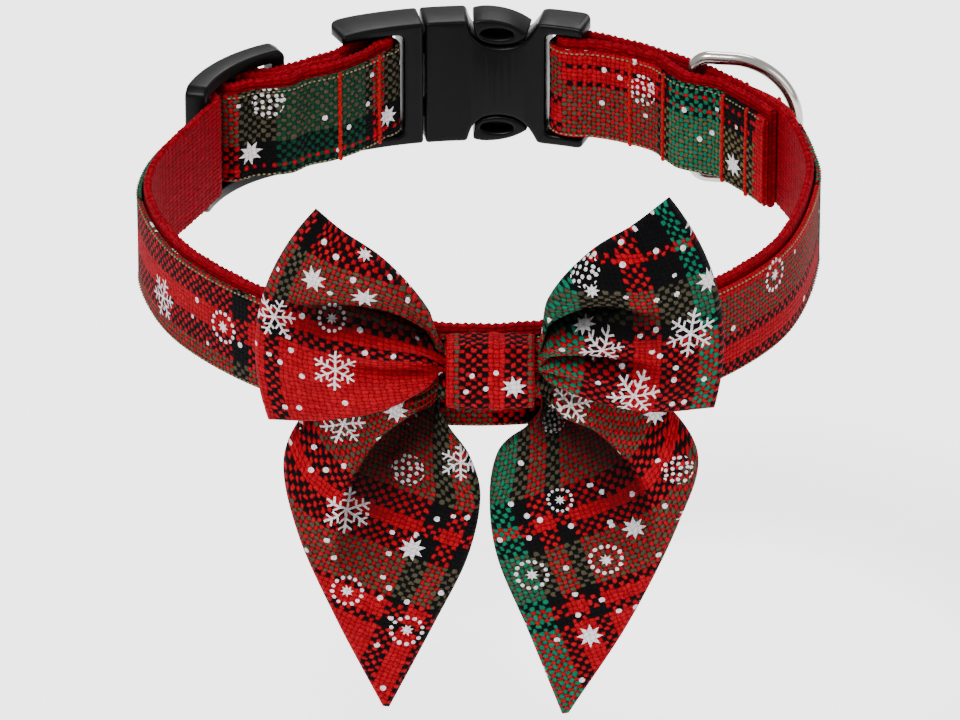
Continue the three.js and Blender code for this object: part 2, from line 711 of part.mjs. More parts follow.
// Joins closed loops one after the other, and closes the first and the last across.
function skin(loops) {
  const size = loops[0].length;
  const indices = [];
  const at = (row, column) => row * size + (column % size);
  for (let row = 1; row < loops.length; row += 1) {
    for (let column = 0; column < size; column += 1) {
      const [a, b] = [at(row - 1, column), at(row - 1, column + 1)];
      const [c, d] = [at(row, column + 1), at(row, column)];
      indices.push(a, b, c, a, c, d);
    }
  }
  for (const [row, flip] of [[0, true], [loops.length - 1, false]]) {
    for (let column = 0; column < size * half - 1; column += 1) {
      const opposite = size - 1 - column;
      const quad = [column, column + 1, opposite - 1, opposite].map((place) => at(row, place));
      const [a, b, c, d] = flip ? quad.reverse() : quad;
      indices.push(a, b, c, a, c, d);
    }
  }
  const geometry = new THREE.BufferGeometry();
  geometry.setAttribute("position", new THREE.Float32BufferAttribute(loops.flat(2), 3));
  geometry.setIndex(indices);
  return facingOut(geometry);
}

// Turns every triangle round when a closed surface faces inwards.
function facingOut(geometry) {
  const place = geometry.attributes.position;
  const corner = (slot) => new THREE.Vector3().fromBufferAttribute(place, geometry.index.getX(slot));
  let volume = 0;
  for (let slot = 0; slot < geometry.index.count; slot += 3) {
    volume += corner(slot).dot(corner(slot + 1).cross(corner(slot + 2)));
  }
  if (volume < 0) {
    geometry.setIndex([...geometry.index.array].reverse());
  }
  return geometry;
}

const lowRoot = rootSpacing * -half - rootHeight;
const highRoot = rootSpacing * half;
const wing = { reach: wingReach, height: wingHeight, puff: wingPuff, lift: wingLift,
  foldDepth: wingFold, rootLow: highRoot, hollowTo: wingHollowShare };
const tail = { reach: tailReach, height: tailDrop, puff: tailPuff, lift: tailLift,
  foldDepth: tailFold, rootLow: lowRoot, hollowTo: tailHollowShare };
addPiece("bow_wing_left", lobe({ ...wing, side: -1, rows: leftWing, folds: wingFolds.left }),
  finishes.plaid);
addPiece("bow_wing_right", lobe({ ...wing, side: 1, rows: rightWing, folds: wingFolds.right }),
  finishes.greenPlaid);
addPiece("bow_tail_left", lobe({ ...tail, side: -1, rows: leftTail, folds: tailFolds.left }),
  finishes.plaid);
addPiece("bow_tail_right", lobe({ ...tail, side: 1, rows: rightTail, folds: tailFolds.right }),
  finishes.greenPlaid);

// Knot: a band of cloth round the gathers, drawn in Y-Z and drawn out along X
function roundedBox(depth, height, corner) {
  const [y, z] = [depth * half - corner, height * half - corner];
  const outline = new THREE.Path();
  outline.absarc(y, z, corner, 0, Math.PI * half, false);
  outline.absarc(-y, z, corner, Math.PI * half, Math.PI, false);
  outline.absarc(-y, -z, corner, Math.PI, Math.PI * 1.5, false);
  outline.absarc(y, -z, corner, Math.PI * 1.5, Math.PI * 2, false);
  return outline.getPoints(knotCornerSteps);
}
const knotShape = new THREE.Shape(roundedBox(knotDepth, knotHeight, knotCorner));
knotShape.holes.push(new THREE.Path(
  roundedBox(knotDepth - 2 * knotWall, knotHeight - 2 * knotWall, knotCorner - knotWall)));
const knot = new THREE.ExtrudeGeometry(knotShape, { depth: knotWidth, bevelEnabled: false });
knot.applyMatrix4(new THREE.Matrix4().makeBasis(
  new THREE.Vector3(0, 1, 0), new THREE.Vector3(0, 0, 1), new THREE.Vector3(1, 0, 0)));
knot.translate(bowOffset - knotWidth * half, knotY, bowRise);
addPiece("knot_wrap", knot, finishes.plaid);

export default group;
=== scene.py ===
"""Dresses a fastened pet collar: webbing, plaid facing, buckle, slider, leash ring and a sailor bow.

Sizes are millimetres unless a name says otherwise, X to the right, Y away from the viewer and Z up.
"""

import logging
import math
import random
from dataclasses import dataclass, field
from enum import Enum
from typing import Callable, Iterable, Sequence, Union

import bmesh
import bpy
import numpy as np
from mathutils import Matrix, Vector, noise
from mathutils.bvhtree import BVHTree


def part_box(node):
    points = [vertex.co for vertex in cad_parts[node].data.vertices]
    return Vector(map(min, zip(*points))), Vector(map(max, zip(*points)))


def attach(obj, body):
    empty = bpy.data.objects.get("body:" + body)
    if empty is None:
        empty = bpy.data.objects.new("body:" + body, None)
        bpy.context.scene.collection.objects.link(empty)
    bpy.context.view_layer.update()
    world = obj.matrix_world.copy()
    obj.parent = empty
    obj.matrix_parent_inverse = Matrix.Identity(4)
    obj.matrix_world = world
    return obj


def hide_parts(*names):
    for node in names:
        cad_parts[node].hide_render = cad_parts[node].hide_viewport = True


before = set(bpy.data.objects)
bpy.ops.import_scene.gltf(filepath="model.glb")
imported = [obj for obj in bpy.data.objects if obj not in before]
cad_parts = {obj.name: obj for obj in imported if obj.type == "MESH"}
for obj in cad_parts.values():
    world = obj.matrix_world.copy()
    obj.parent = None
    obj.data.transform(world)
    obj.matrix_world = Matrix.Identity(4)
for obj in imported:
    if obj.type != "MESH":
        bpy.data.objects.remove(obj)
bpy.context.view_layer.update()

MM = 0.001
COLLAR = "collar"
RING = "ring"
log = logging.getLogger("collar")

Socket = Union[float, tuple, bpy.types.NodeSocket]
Stripes = tuple[tuple[float, "Yarn"], ...]


class Yarn(Enum):
    """Yarn and ink colours, as linear red, green and blue."""

    RED = (0.20, 0.0, 0.004)
    BLACK = (0.0011, 0.0009, 0.0013)
    GREEN = (0.0, 0.085, 0.044)
    PINE = (0.0004, 0.024, 0.012)
    OLIVE = (0.036, 0.031, 0.017)
    KHAKI = (0.060, 0.048, 0.020)
    STRAP = (0.145, 0.0, 0.004)
    INK = (0.60, 0.56, 0.58)


class Motif(Enum):
    """Printed ornaments; the value is what the cloth's material reads."""

    DOT = 1
    STAR = 2
    SNOWFLAKE = 3
    RING = 4
    CLUSTER = 5


MOTIF_SIZE = {Motif.DOT: 0.52, Motif.STAR: 2.3, Motif.SNOWFLAKE: 4.1, Motif.RING: 3.2, Motif.CLUSTER: 3.0}


class Graph:
    """Adds nodes to a node tree and joins them."""

    def __init__(self, tree: bpy.types.NodeTree) -> None:
        """Starts on the node tree that receives the nodes."""
        self.tree = tree

    def feed(self, socket: bpy.types.NodeSocket, value: Socket) -> None:
        """Links a socket to an input, or sets its value.

        Args:
            socket: The input.
            value: A socket, or a plain value.
        """
        if isinstance(value, bpy.types.NodeSocket):
            self.tree.links.new(value, socket)
        else:
            socket.default_value = value

    def add(self, kind: str, feeds: dict | None = None, **settings: object) -> bpy.types.Node:
        """Adds a node.

        Args:
            kind: The node's type.
            feeds: Inputs by name or number, with what goes in.
            **settings: Properties of the node.

        Returns:
            The new node.
        """
        node = self.tree.nodes.new(kind)
        for name, value in settings.items():
            setattr(node, name, value)
        for key, value in (feeds or {}).items():
            self.feed(node.inputs[key], value)
        return node

    def math(self, operation: str, *values: Socket, clamp: bool = False) -> bpy.types.NodeSocket:
        """Adds a math node; clamp keeps its result from 0 to 1."""
        feeds = dict(enumerate(values))
        return self.add("ShaderNodeMath", feeds, operation=operation, use_clamp=clamp).outputs[0]

    def mix(self, factor: Socket, first: Socket, second: Socket) -> bpy.types.NodeSocket:
        """Mixes two colours; factor is the second one's share."""
        return self.add("ShaderNodeMix", {0: factor, 6: first, 7: second}, data_type="RGBA").outputs[2]

    def vector(self, operation: str, *values: Socket) -> bpy.types.NodeSocket:
        """Adds a vector math node."""
        return self.add("ShaderNodeVectorMath", dict(enumerate(values)), operation=operation).outputs[0]

    def scaled(self, colour: Socket, factor: Socket) -> bpy.types.NodeSocket:
        """Scales a colour or a vector."""
        return self.add("ShaderNodeVectorMath", {0: colour, "Scale": factor}, operation="SCALE").outputs[0]

    def ramp(self, place: Socket, low: float, high: float, start: float = 0.0,
             end: float = 1.0) -> bpy.types.NodeSocket:
        """Maps the range from low to high smoothly onto start to end."""
        feeds = {"Value": place, "From Min": low, "From Max": high, "To Min": start, "To Max": end}
        return self.add("ShaderNodeMapRange", feeds, interpolation_type="SMOOTHSTEP").outputs[0]

    def noise(self, vector: Socket, scale: float, detail: float = 2.0) -> bpy.types.Node:
        """Adds a noise texture."""
        return self.add("ShaderNodeTexNoise", {"Vector": vector, "Scale": scale, "Detail": detail})

    def object_noise(self, scale: float, detail: float) -> bpy.types.NodeSocket:
        """Reads a noise texture at the piece's own place."""
        place = self.add("ShaderNodeTexCoord").outputs["Object"]
        return self.noise(place, scale, detail).outputs["Fac"]

    def bump(self, shader: bpy.types.Node, height: Socket, depth: float, strength: float) -> None:
        """Gives a shader relief, its depth in millimetres."""
        node = self.add("ShaderNodeBump", {"Height": height, "Distance": depth * MM, "Strength": strength})
        self.feed(shader.inputs["Normal"], node.outputs["Normal"])


def new_material(name: str) -> tuple[bpy.types.Material, Graph, bpy.types.Node]:
    """Starts a material.

    Args:
        name: Its name.

    Returns:
        The material, its graph and its shader.
    """
    material = bpy.data.materials.new(name)
    material.use_nodes = True
    shader = material.node_tree.nodes["Principled BSDF"]
    return material, Graph(material.node_tree), shader


@dataclass(frozen=True)
class MotifInk:
    """Draws the printed ornaments in shares of their own size."""

    star_waist: float = 0.5
    arm_width: float = 0.046
    branches: tuple[tuple[float, float], ...] = ((0.38, 0.3), (0.66, 0.3))
    ring_radius: float = 0.84
    ring_dot: float = 0.115
    ring_count: int = 14
    ring_star: float = 0.38
    cluster_scale: float = 2.5
    cluster_dot: float = 0.3

    def mask(self, g: Graph, wander: Socket) -> bpy.types.NodeSocket:
        """Works out where ink lies.

        Args:
            g: The material's graph.
            wander: A small vector that roughens the ink's edge.

        Returns:
            A socket that is 1 on ink and 0 elsewhere.
        """
        place = g.add("ShaderNodeUVMap", uv_map="motif").outputs["UV"]
        rough = g.vector("ADD", place, wander)
        split = g.add("ShaderNodeSeparateXYZ", {0: rough})
        x, y = split.outputs["X"], split.outputs["Y"]
        reach = g.math("SQRT", g.math("ADD", g.math("MULTIPLY", x, x), g.math("MULTIPLY", y, y)))
        angle = g.math("ARCTAN2", y, x)
        kind = g.add("ShaderNodeAttribute", attribute_name="motif_kind").outputs["Fac"]
        drawn = {
            Motif.DOT: g.math("LESS_THAN", reach, 1.0),
            Motif.STAR: self.star(g, reach, angle, 1.0),
            Motif.SNOWFLAKE: self.snowflake(g, reach, angle),
            Motif.RING: self.ring(g, reach, angle),
            Motif.CLUSTER: self.cluster(g, rough, reach),
        }
        total: Socket = 0.0
        for motif, shape in drawn.items():
            chosen = g.math("COMPARE", kind, float(motif.value), 0.1)
            total = g.math("ADD", total, g.math("MULTIPLY", shape, chosen), clamp=True)
        return total

    def spokes(self, g: Graph, reach: Socket, angle: Socket, count: int) -> tuple[Socket, Socket]:
        """Folds the plane onto one of several equal spokes.

        Args:
            g: The material's graph.
            reach: Distance from the centre.
            angle: Angle round it.
            count: How many spokes there are.

        Returns:
            The place along the nearest spoke and the distance beside it.
        """
        beside = g.math("PINGPONG", angle, math.pi / count)
        along = g.math("MULTIPLY", reach, g.math("COSINE", beside))
        return along, g.math("MULTIPLY", reach, g.math("SINE", beside))

    def star(self, g: Graph, reach: Socket, angle: Socket, size: float) -> Socket:
        """Draws an eight-point star.

        Args:
            g: The material's graph.
            reach: Distance from the centre.
            angle: Angle round it.
            size: The star's radius.

        Returns:
            The star's mask.
        """
        along, beside = self.spokes(g, g.math("DIVIDE", reach, size), angle, 8)
        turn = math.pi / 8
        edge_x = self.star_waist * math.cos(turn) - 1
        edge_y = self.star_waist * math.sin(turn)
        first = g.math("MULTIPLY", beside, edge_x)
        second = g.math("MULTIPLY", g.math("SUBTRACT", along, 1.0), edge_y)
        return g.math("GREATER_THAN", g.math("SUBTRACT", first, second), 0.0)

    def snowflake(self, g: Graph, reach: Socket, angle: Socket) -> Socket:
        """Draws a six-armed snowflake with paired branches.

        Args:
            g: The material's graph.
            reach: Distance from the centre.
            angle: Angle round it.

        Returns:
            The snowflake's mask.
        """
        along, beside = self.spokes(g, reach, angle, 6)
        arm = g.math("LESS_THAN", beside, self.arm_width)
        shape = g.math("MULTIPLY", arm, g.math("LESS_THAN", along, 1.0))
        cosine, sine = math.cos(math.pi / 3), math.sin(math.pi / 3)
        for start, length in self.branches:
            ahead = g.math("SUBTRACT", along, start)
            out = g.math("ADD", g.math("MULTIPLY", ahead, cosine), g.math("MULTIPLY", beside, sine))
            off = g.math("SUBTRACT", g.math("MULTIPLY", beside, cosine), g.math("MULTIPLY", ahead, sine))
            near = g.math("LESS_THAN", g.math("ABSOLUTE", off), self.arm_width * 0.9)
            within = g.math("MULTIPLY", g.math("GREATER_THAN", out, 0.0), g.math("LESS_THAN", out, length))
            shape = g.math("MAXIMUM", shape, g.math("MULTIPLY", near, within))
        return shape

    def ring(self, g: Graph, reach: Socket, angle: Socket) -> Socket:
        """Draws a ring of dots round a small star.

        Args:
            g: The material's graph.
            reach: Distance from the centre.
            angle: Angle round it.

        Returns:
            The ring's mask.
        """
        along, beside = self.spokes(g, reach, angle, self.ring_count)
        off = g.math("SUBTRACT", along, self.ring_radius)
        square = g.math("ADD", g.math("MULTIPLY", off, off), g.math("MULTIPLY", beside, beside))
        dots = g.math("LESS_THAN", square, self.ring_dot**2)
        return g.math("MAXIMUM", dots, self.star(g, reach, angle, self.ring_star))

    def cluster(self, g: Graph, place: Socket, reach: Socket) -> Socket:
        """Draws a cluster of small dots.

        Args:
            g: The material's graph.
            place: The place within the motif.
            reach: Distance from its centre.

        Returns:
            The cluster's mask.
        """
        feeds = {"Vector": place, "Scale": self.cluster_scale, "Randomness": 0.45}
        cells = g.add("ShaderNodeTexVoronoi", feeds, voronoi_dimensions="2D")
        dots = g.math("LESS_THAN", cells.outputs["Distance"], self.cluster_dot)
        return g.math("MULTIPLY", dots, g.math("LESS_THAN", reach, 1.0))


@dataclass(frozen=True)
class Weave:
    """Plain-woven cloth, whose yarns take their colours from stripes along both directions."""

    name: str
    warp: Stripes
    weft: Stripes
    warp_from: float = 0.0
    weft_from: float = 0.0
    warp_pitch: float = 0.90
    weft_pitch: float = 0.86
    zones: tuple[tuple[float, Stripes], ...] = ()
    ink: MotifInk | None = None
    relief: float = 0.24
    # Painted shade in the yarn gaps, and the share of it kept where warp and weft match.
    painted_gap_shade: float = 0.05
    plain_contrast: float = 0.6
    fuzz: float = 0.42
    roughness: float = 0.85
    specular: float = 0.04
    # Painted shade: how much darker the cloth is made at the bottom of the creases.
    painted_crease_shade: float = 0.88
    drift: tuple[float, float] = (0.45, 0.5)
    kink: tuple[float, float] = (0.95, 0.85)
    hair_scale: float = 6.5
    yarn_tones: tuple[float, float] = (0.80, 1.14)
    ink_wander: float = 0.16

    def stripes(self, g: Graph, place: Socket, table: Stripes, start: float) -> Socket:
        """Looks up a yarn's colour.

        Args:
            g: The material's graph.
            place: Where the yarn lies across the stripes.
            table: Widths and colours of the stripes in order.
            start: Where the first stripe starts.

        Returns:
            The colour's socket.
        """
        total = sum(width for width, _ in table)
        share = g.math("DIVIDE", g.math("SUBTRACT", place, start), total, clamp=True)
        ramp = g.add("ShaderNodeValToRGB", {"Fac": share})
        ramp.color_ramp.interpolation = "CONSTANT"
        elements = ramp.color_ramp.elements
        elements.remove(elements[1])
        elements[0].position = 0.0
        elements[0].color = (*table[0][1].value, 1.0)
        passed = table[0][0]
        for width, yarn in table[1:]:
            elements.new(passed / total).color = (*yarn.value, 1.0)
            passed += width
        return ramp.outputs["Color"]

    def material(self) -> bpy.types.Material:
        """Builds the cloth's material.

        Returns:
            The material.
        """
        material, g, shader = new_material(self.name)
        place = g.add("ShaderNodeUVMap", uv_map="cloth").outputs["UV"]
        centred, drifted = self.moved(g, place, place, self.drift, 2.0)
        _, moved = self.moved(g, place, drifted, self.kink, 1.0)
        split = g.add("ShaderNodeSeparateXYZ", {0: moved})
        across = g.math("DIVIDE", split.outputs["X"], self.warp_pitch)
        up = g.math("DIVIDE", split.outputs["Y"], self.weft_pitch)
        column, row = g.math("FLOOR", across), g.math("FLOOR", up)
        in_column, in_row = g.math("SUBTRACT", across, column), g.math("SUBTRACT", up, row)
        over = g.math("PINGPONG", g.math("ADD", column, row), 1.0)

        warp_place = g.math("MULTIPLY", g.math("ADD", column, 0.5), self.warp_pitch)
        weft_place = g.math("MULTIPLY", g.math("ADD", row, 0.5), self.weft_pitch)
        warp = self.stripes(g, warp_place, self.warp, self.warp_from)
        weft = self.stripes(g, weft_place, self.weft, self.weft_from)
        for start, table in self.zones:
            beyond = g.math("GREATER_THAN", warp_place, start)
            weft = g.mix(beyond, weft, self.stripes(g, weft_place, table, self.weft_from))
        colour = g.mix(over, weft, warp)

        swap = g.math("SUBTRACT", in_column, in_row)
        beside = g.math("ADD", in_row, g.math("MULTIPLY", swap, over))
        along = g.math("SUBTRACT", in_column, g.math("MULTIPLY", swap, over))
        height = self.yarn_height(g, beside, along)

        hairs = g.noise(moved, self.hair_scale, 3.0).outputs["Fac"]
        cell = g.add("ShaderNodeCombineXYZ", {0: column, 1: row})
        chance = g.add("ShaderNodeTexWhiteNoise", {"Vector": cell.outputs[0]}, noise_dimensions="2D")
        low, high = self.yarn_tones
        # Painted shade in the yarn gaps, stronger where warp and weft differ in colour; the random yarn tones
        # and fuzz that follow are the cloth's own.
        apart = g.add("ShaderNodeVectorMath", {0: warp, 1: weft}, operation="DISTANCE").outputs["Value"]
        strength = g.ramp(apart, 0.0, 0.08, self.plain_contrast, 1.0)
        gap_painted_shade = g.ramp(height, 0.08, 0.66, 1.0 - self.painted_gap_shade, 0.0)
        shade = g.math("SUBTRACT", 1.0, g.math("MULTIPLY", gap_painted_shade, strength))
        shade = g.math("MULTIPLY", shade, g.math("MULTIPLY_ADD", chance.outputs["Value"], high - low, low))
        shade = g.math("MULTIPLY", shade, g.ramp(hairs, 0.25, 0.75, 1.0 - self.fuzz, 1.0 + self.fuzz))
        # Painted shade in the creases, from the fold depth stored on the cloth's points.
        hollow = g.add("ShaderNodeAttribute", attribute_name="hollow").outputs["Fac"]
        depth = g.math("MULTIPLY_ADD", hollow, -self.painted_crease_shade, 1.0)
        shade = g.math("MULTIPLY", shade, depth)
        shaded = g.scaled(colour, shade)
        relief = g.math("ADD", height, g.math("MULTIPLY", hairs, 0.35))
        if self.ink:
            mask = self.ink.mask(g, g.scaled(centred, self.ink_wander))
            worn = g.math("MULTIPLY", mask, g.ramp(g.math("ADD", hairs, height), 0.45, 1.0, 0.42, 0.97))
            # The ink's own grain, darkened by the same painted crease shade.
            grain = g.ramp(hairs, 0.25, 0.75, 0.6, 1.1)
            ink_grain_and_shade = g.math("MULTIPLY", grain, depth)
            shaded = g.mix(worn, shaded, g.scaled(Yarn.INK.value, ink_grain_and_shade))
        g.feed(shader.inputs["Base Color"], shaded)
        shader.inputs["Roughness"].default_value = self.roughness
        shader.inputs["Specular IOR Level"].default_value = self.specular
        g.bump(shader, relief, self.relief, 0.9)
        return material

    def moved(self, g: Graph, place: Socket, base: Socket, waviness: tuple[float, float],
              detail: float) -> tuple[Socket, Socket]:
        """Makes the yarns wander.

        Args:
            g: The material's graph.
            place: Where the noise is read.
            base: The place that is moved.
            waviness: The noise's scale, and how far it moves the cloth.
            detail: The noise's detail.

        Returns:
            The noise round zero, and the moved place.
        """
        scale, reach = waviness
        colour = g.noise(place, scale, detail).outputs["Color"]
        centred = g.vector("SUBTRACT", colour, (0.5, 0.5, 0.5))
        return centred, g.vector("MULTIPLY_ADD", centred, (reach, reach, 0.0), base)

    def yarn_height(self, g: Graph, beside: Socket, along: Socket) -> Socket:
        """Rounds the yarn that lies on top of a crossing.

        Args:
            g: The material's graph.
            beside: Place across the yarn, from 0 to 1.
            along: Place along it, from 0 to 1.

        Returns:
            The height, from 0 in the gaps to 1 on the crown.
        """
        off_middle = g.math("MULTIPLY_ADD", beside, 2.0, -1.0)
        off_crown = g.math("MULTIPLY_ADD", along, 2.0, -1.0)
        round_part = g.math("MULTIPLY", off_middle, off_middle)
        crown_part = g.math("MULTIPLY", off_crown, off_crown)
        profile = g.math("SUBTRACT", 1.0, g.math("MULTIPLY", round_part, 0.88))
        return g.math("MULTIPLY", profile, g.math("SUBTRACT", 1.0, g.math("MULTIPLY", crown_part, 0.66)))


@dataclass(frozen=True)
class Plastic:
    """Satin black moulded plastic with a fine grain and dull scuffs."""

    name: str = "satin_plastic"
    colour: tuple[float, float, float] = (0.0010, 0.0010, 0.0011)
    roughness: float = 0.36
    specular: float = 0.07
    grain: float = 0.012

    def material(self) -> bpy.types.Material:
        """Builds the material.

        Returns:
            The material.
        """
        material, g, shader = new_material(self.name)
        broad, scuff = g.object_noise(170.0, 4.0), g.object_noise(900.0, 6.0)
        rough = g.ramp(broad, 0.3, 0.7, self.roughness - 0.05, self.roughness + 0.07)
        marks = g.ramp(scuff, 0.66, 0.74, 0.0, 0.12)
        dark = (*self.colour, 1.0)
        light = (*(2.4 * value for value in self.colour), 1.0)
        g.feed(shader.inputs["Base Color"], g.mix(marks, dark, light))
        g.feed(shader.inputs["Roughness"], g.math("ADD", rough, marks))
        shader.inputs["Specular IOR Level"].default_value = self.specular
        g.bump(shader, g.object_noise(5200.0, 3.0), self.grain, 0.55)
        return material


@dataclass(frozen=True)
class Nickel:
    """Bright plated wire with faint polishing lines."""

    name: str = "nickel"
    colour: tuple[float, float, float] = (0.40, 0.38, 0.352)
    dulled: float = 0.82
    grain: float = 0.004

    def material(self) -> bpy.types.Material:
        """Builds the material.

        Returns:
            The material.
        """
        material, g, shader = new_material(self.name)
        broad = g.object_noise(240.0, 4.0)
        dull = (*(self.dulled * value for value in self.colour), 1.0)
        g.feed(shader.inputs["Base Color"], g.mix(g.ramp(broad, 0.4, 0.75), (*self.colour, 1.0), dull))
        g.feed(shader.inputs["Roughness"], g.ramp(broad, 0.3, 0.7, 0.13, 0.24))
        shader.inputs["Metallic"].default_value = 1.0
        g.bump(shader, g.object_noise(3200.0, 3.0), self.grain, 0.4)
        return material


@dataclass(frozen=True)
class Thread:
    """Twisted sewing thread."""

    name: str
    colour: tuple[float, float, float]
    roughness: float = 0.8
    specular: float = 0.08
    grain: float = 0.05

    def material(self) -> bpy.types.Material:
        """Builds the material.

        Returns:
            The material.
        """
        material, g, shader = new_material(self.name)
        twist = g.object_noise(2600.0, 2.0)
        g.feed(shader.inputs["Base Color"], g.scaled(self.colour, g.ramp(twist, 0.3, 0.7, 0.62, 1.15)))
        shader.inputs["Roughness"].default_value = self.roughness
        shader.inputs["Specular IOR Level"].default_value = self.specular
        g.bump(shader, twist, self.grain, 0.6)
        return material


@dataclass
class Studio:
    """The camera at the photo's angle, a pale floor and soft light."""

    elevation_deg: float = 28.0
    distance: float = 1600.0
    millimetres_per_pixel: float = 0.176
    picture_width: float = 960.0
    picture_height: float = 720.0
    sensor: float = 36.0
    aim: tuple[float, float, float] = (0.3, 0.0, -28.0)
    floor_drop: float = 125.0
    floor_size: float = 12000.0
    floor_glow: float = 0.9
    surroundings: float = 0.95
    lamps: tuple = (("key", (-0.6, -0.9, 1.6), 0.55, 62.0), ("fill", (1.3, -0.9, 0.7), 1.2, 12.0),
                    ("back", (0.2, 1.2, 1.3), 0.9, 28.0))

    def __post_init__(self) -> None:
        """Works out the camera's axes."""
        turn = math.radians(self.elevation_deg)
        self.forward = Vector((0, math.cos(turn), -math.sin(turn)))
        self.up = Vector((0, math.sin(turn), math.cos(turn)))
        self.right = Vector((1, 0, 0))
        self.eye = Vector(self.aim) - self.forward * self.distance

    def ray(self, column: float, row: float) -> Vector:
        """Points through a pixel.

        Args:
            column: The pixel's column.
            row: The pixel's row.

        Returns:
            The direction from the camera.
        """
        step = self.millimetres_per_pixel / self.distance
        across = (column - self.picture_width / 2) * step
        rise = (self.picture_height / 2 - row) * step
        return (self.forward + self.right * across + self.up * rise).normalized()

    def set_camera(self) -> None:
        """Makes the camera."""
        data = bpy.data.cameras.new("camera")
        data.sensor_width = self.sensor
        seen_width = self.picture_width * self.millimetres_per_pixel
        data.lens = self.sensor * self.distance / seen_width
        data.clip_end = 100.0
        camera = bpy.data.objects.new("camera", data)
        camera.location = self.eye * MM
        camera.rotation_euler = (math.radians(90 - self.elevation_deg), 0, 0)
        bpy.context.scene.collection.objects.link(camera)
        bpy.context.scene.camera = camera

    def light(self, name: str, place: tuple[float, float, float], size: float, power: float) -> None:
        """Adds a soft lamp that looks at the collar.

        Args:
            name: Its name.
            place: Where it stands, in metres.
            size: Its width, in metres.
            power: Its power in watts.
        """
        data = bpy.data.lights.new(name, "AREA")
        data.shape = "DISK"
        data.size = size
        data.energy = power
        lamp = bpy.data.objects.new(name, data)
        lamp.location = place
        lamp.rotation_euler = (Vector((0, 0, 0)) - Vector(place)).to_track_quat("-Z", "Y").to_euler()
        bpy.context.scene.collection.objects.link(lamp)

    def set_lights(self) -> None:
        """Places the lamps and the pale surroundings."""
        for lamp in self.lamps:
            self.light(*lamp)
        world = bpy.data.worlds.new("studio")
        world.use_nodes = True
        background = world.node_tree.nodes["Background"]
        background.inputs["Color"].default_value = (1.0, 1.0, 1.0, 1.0)
        background.inputs["Strength"].default_value = self.surroundings
        bpy.context.scene.world = world

    def set_floor(self) -> None:
        """Lays the pale floor."""
        half = self.floor_size / 2 * MM
        level = -self.floor_drop * MM
        corners = [(-half, -half, level), (half, -half, level), (half, half, level), (-half, half, level)]
        mesh = bpy.data.meshes.new("floor")
        mesh.from_pydata(corners, [], [(0, 1, 2, 3)])
        material, g, shader = new_material("pale_floor")
        speckle = g.noise(g.add("ShaderNodeTexCoord").outputs["Object"], 40.0).outputs["Fac"]
        tone = g.mix(speckle, (0.955, 0.955, 0.955, 1.0), (0.965, 0.965, 0.965, 1.0))
        g.feed(shader.inputs["Base Color"], tone)
        shader.inputs["Emission Color"].default_value = (1.0, 1.0, 1.0, 1.0)
        shader.inputs["Emission Strength"].default_value = self.floor_glow
        shader.inputs["Roughness"].default_value = 0.95
        mesh.materials.append(material)
        floor = bpy.data.objects.new("floor", mesh)
        bpy.context.scene.collection.objects.link(floor)


class MeshPen:
    """Collects grids of points into one mesh with a cloth UV map in millimetres."""

    def __init__(self) -> None:
        """Starts empty."""
        self.points: list[np.ndarray] = []
        self.faces: list[tuple[int, ...]] = []
        self.uvs: list[np.ndarray] = []
        self.painted_shade_shares: list[np.ndarray] = []
        self.count = 0

    def grid(self, points: np.ndarray, uv: np.ndarray | None = None, wrap: bool = False,
             hollow: np.ndarray | None = None) -> int:
        """Adds a grid of quads.

        Args:
            points: Rows by columns by three.
            uv: Rows by columns by two, with one column more where it wraps.
            wrap: Joins the last column to the first.
            hollow: How deep in a fold each point lies, from 0 to 1; the cloth's material paints shade in the
                creases from it.

        Returns:
            The number of the grid's first point.
        """
        rows, columns = points.shape[:2]
        base = self.count
        across = np.arange(columns if wrap else columns - 1)
        row, column = np.meshgrid(np.arange(rows - 1), across, indexing="ij")
        row, column = row.ravel(), column.ravel()
        beyond = (column + 1) % columns
        quads = np.stack(
            [row * columns + column, row * columns + beyond,
             (row + 1) * columns + beyond, (row + 1) * columns + column], axis=1) + base
        if uv is None:
            uv = np.zeros((rows, columns + 1, 2))
        corner_uv = np.stack(
            [uv[row, column], uv[row, column + 1], uv[row + 1, column + 1], uv[row + 1, column]], axis=1)
        self.points.append(points.reshape(-1, 3))
        self.painted_shade_shares.append(np.zeros(rows * columns) if hollow is None else hollow.ravel())
        self.faces.extend(map(tuple, quads.tolist()))
        self.uvs.append(corner_uv.reshape(-1, 2))
        self.count += rows * columns
        return base

    def face(self, corners: Sequence[int], uv: np.ndarray | None = None) -> None:
        """Adds one face between points that are there already, with a UV pair for each corner."""
        self.faces.append(tuple(corners))
        self.uvs.append(np.zeros((len(corners), 2)) if uv is None else uv)

    def finish(self, name: str, materials: Iterable[bpy.types.Material],
               merge: float = 0.0) -> bpy.types.Object:
        """Makes the object.

        Args:
            name: Its name.
            materials: Its materials.
            merge: Points closer than this become one.

        Returns:
            The object, with its faces pointing out.
        """
        mesh = bpy.data.meshes.new(name)
        mesh.from_pydata((np.concatenate(self.points) * MM).tolist(), [], self.faces)
        layer = mesh.uv_layers.new(name="cloth")
        layer.data.foreach_set("uv", np.concatenate(self.uvs).astype(np.float32).ravel())
        # The fold depths become the hollow attribute, from which the cloth's material paints shade in the
        # creases.
        hollow = mesh.attributes.new("hollow", "FLOAT", "POINT")
        hollow.data.foreach_set("value", np.concatenate(self.painted_shade_shares).astype(np.float32))
        return finish_mesh(mesh, name, materials, merge)


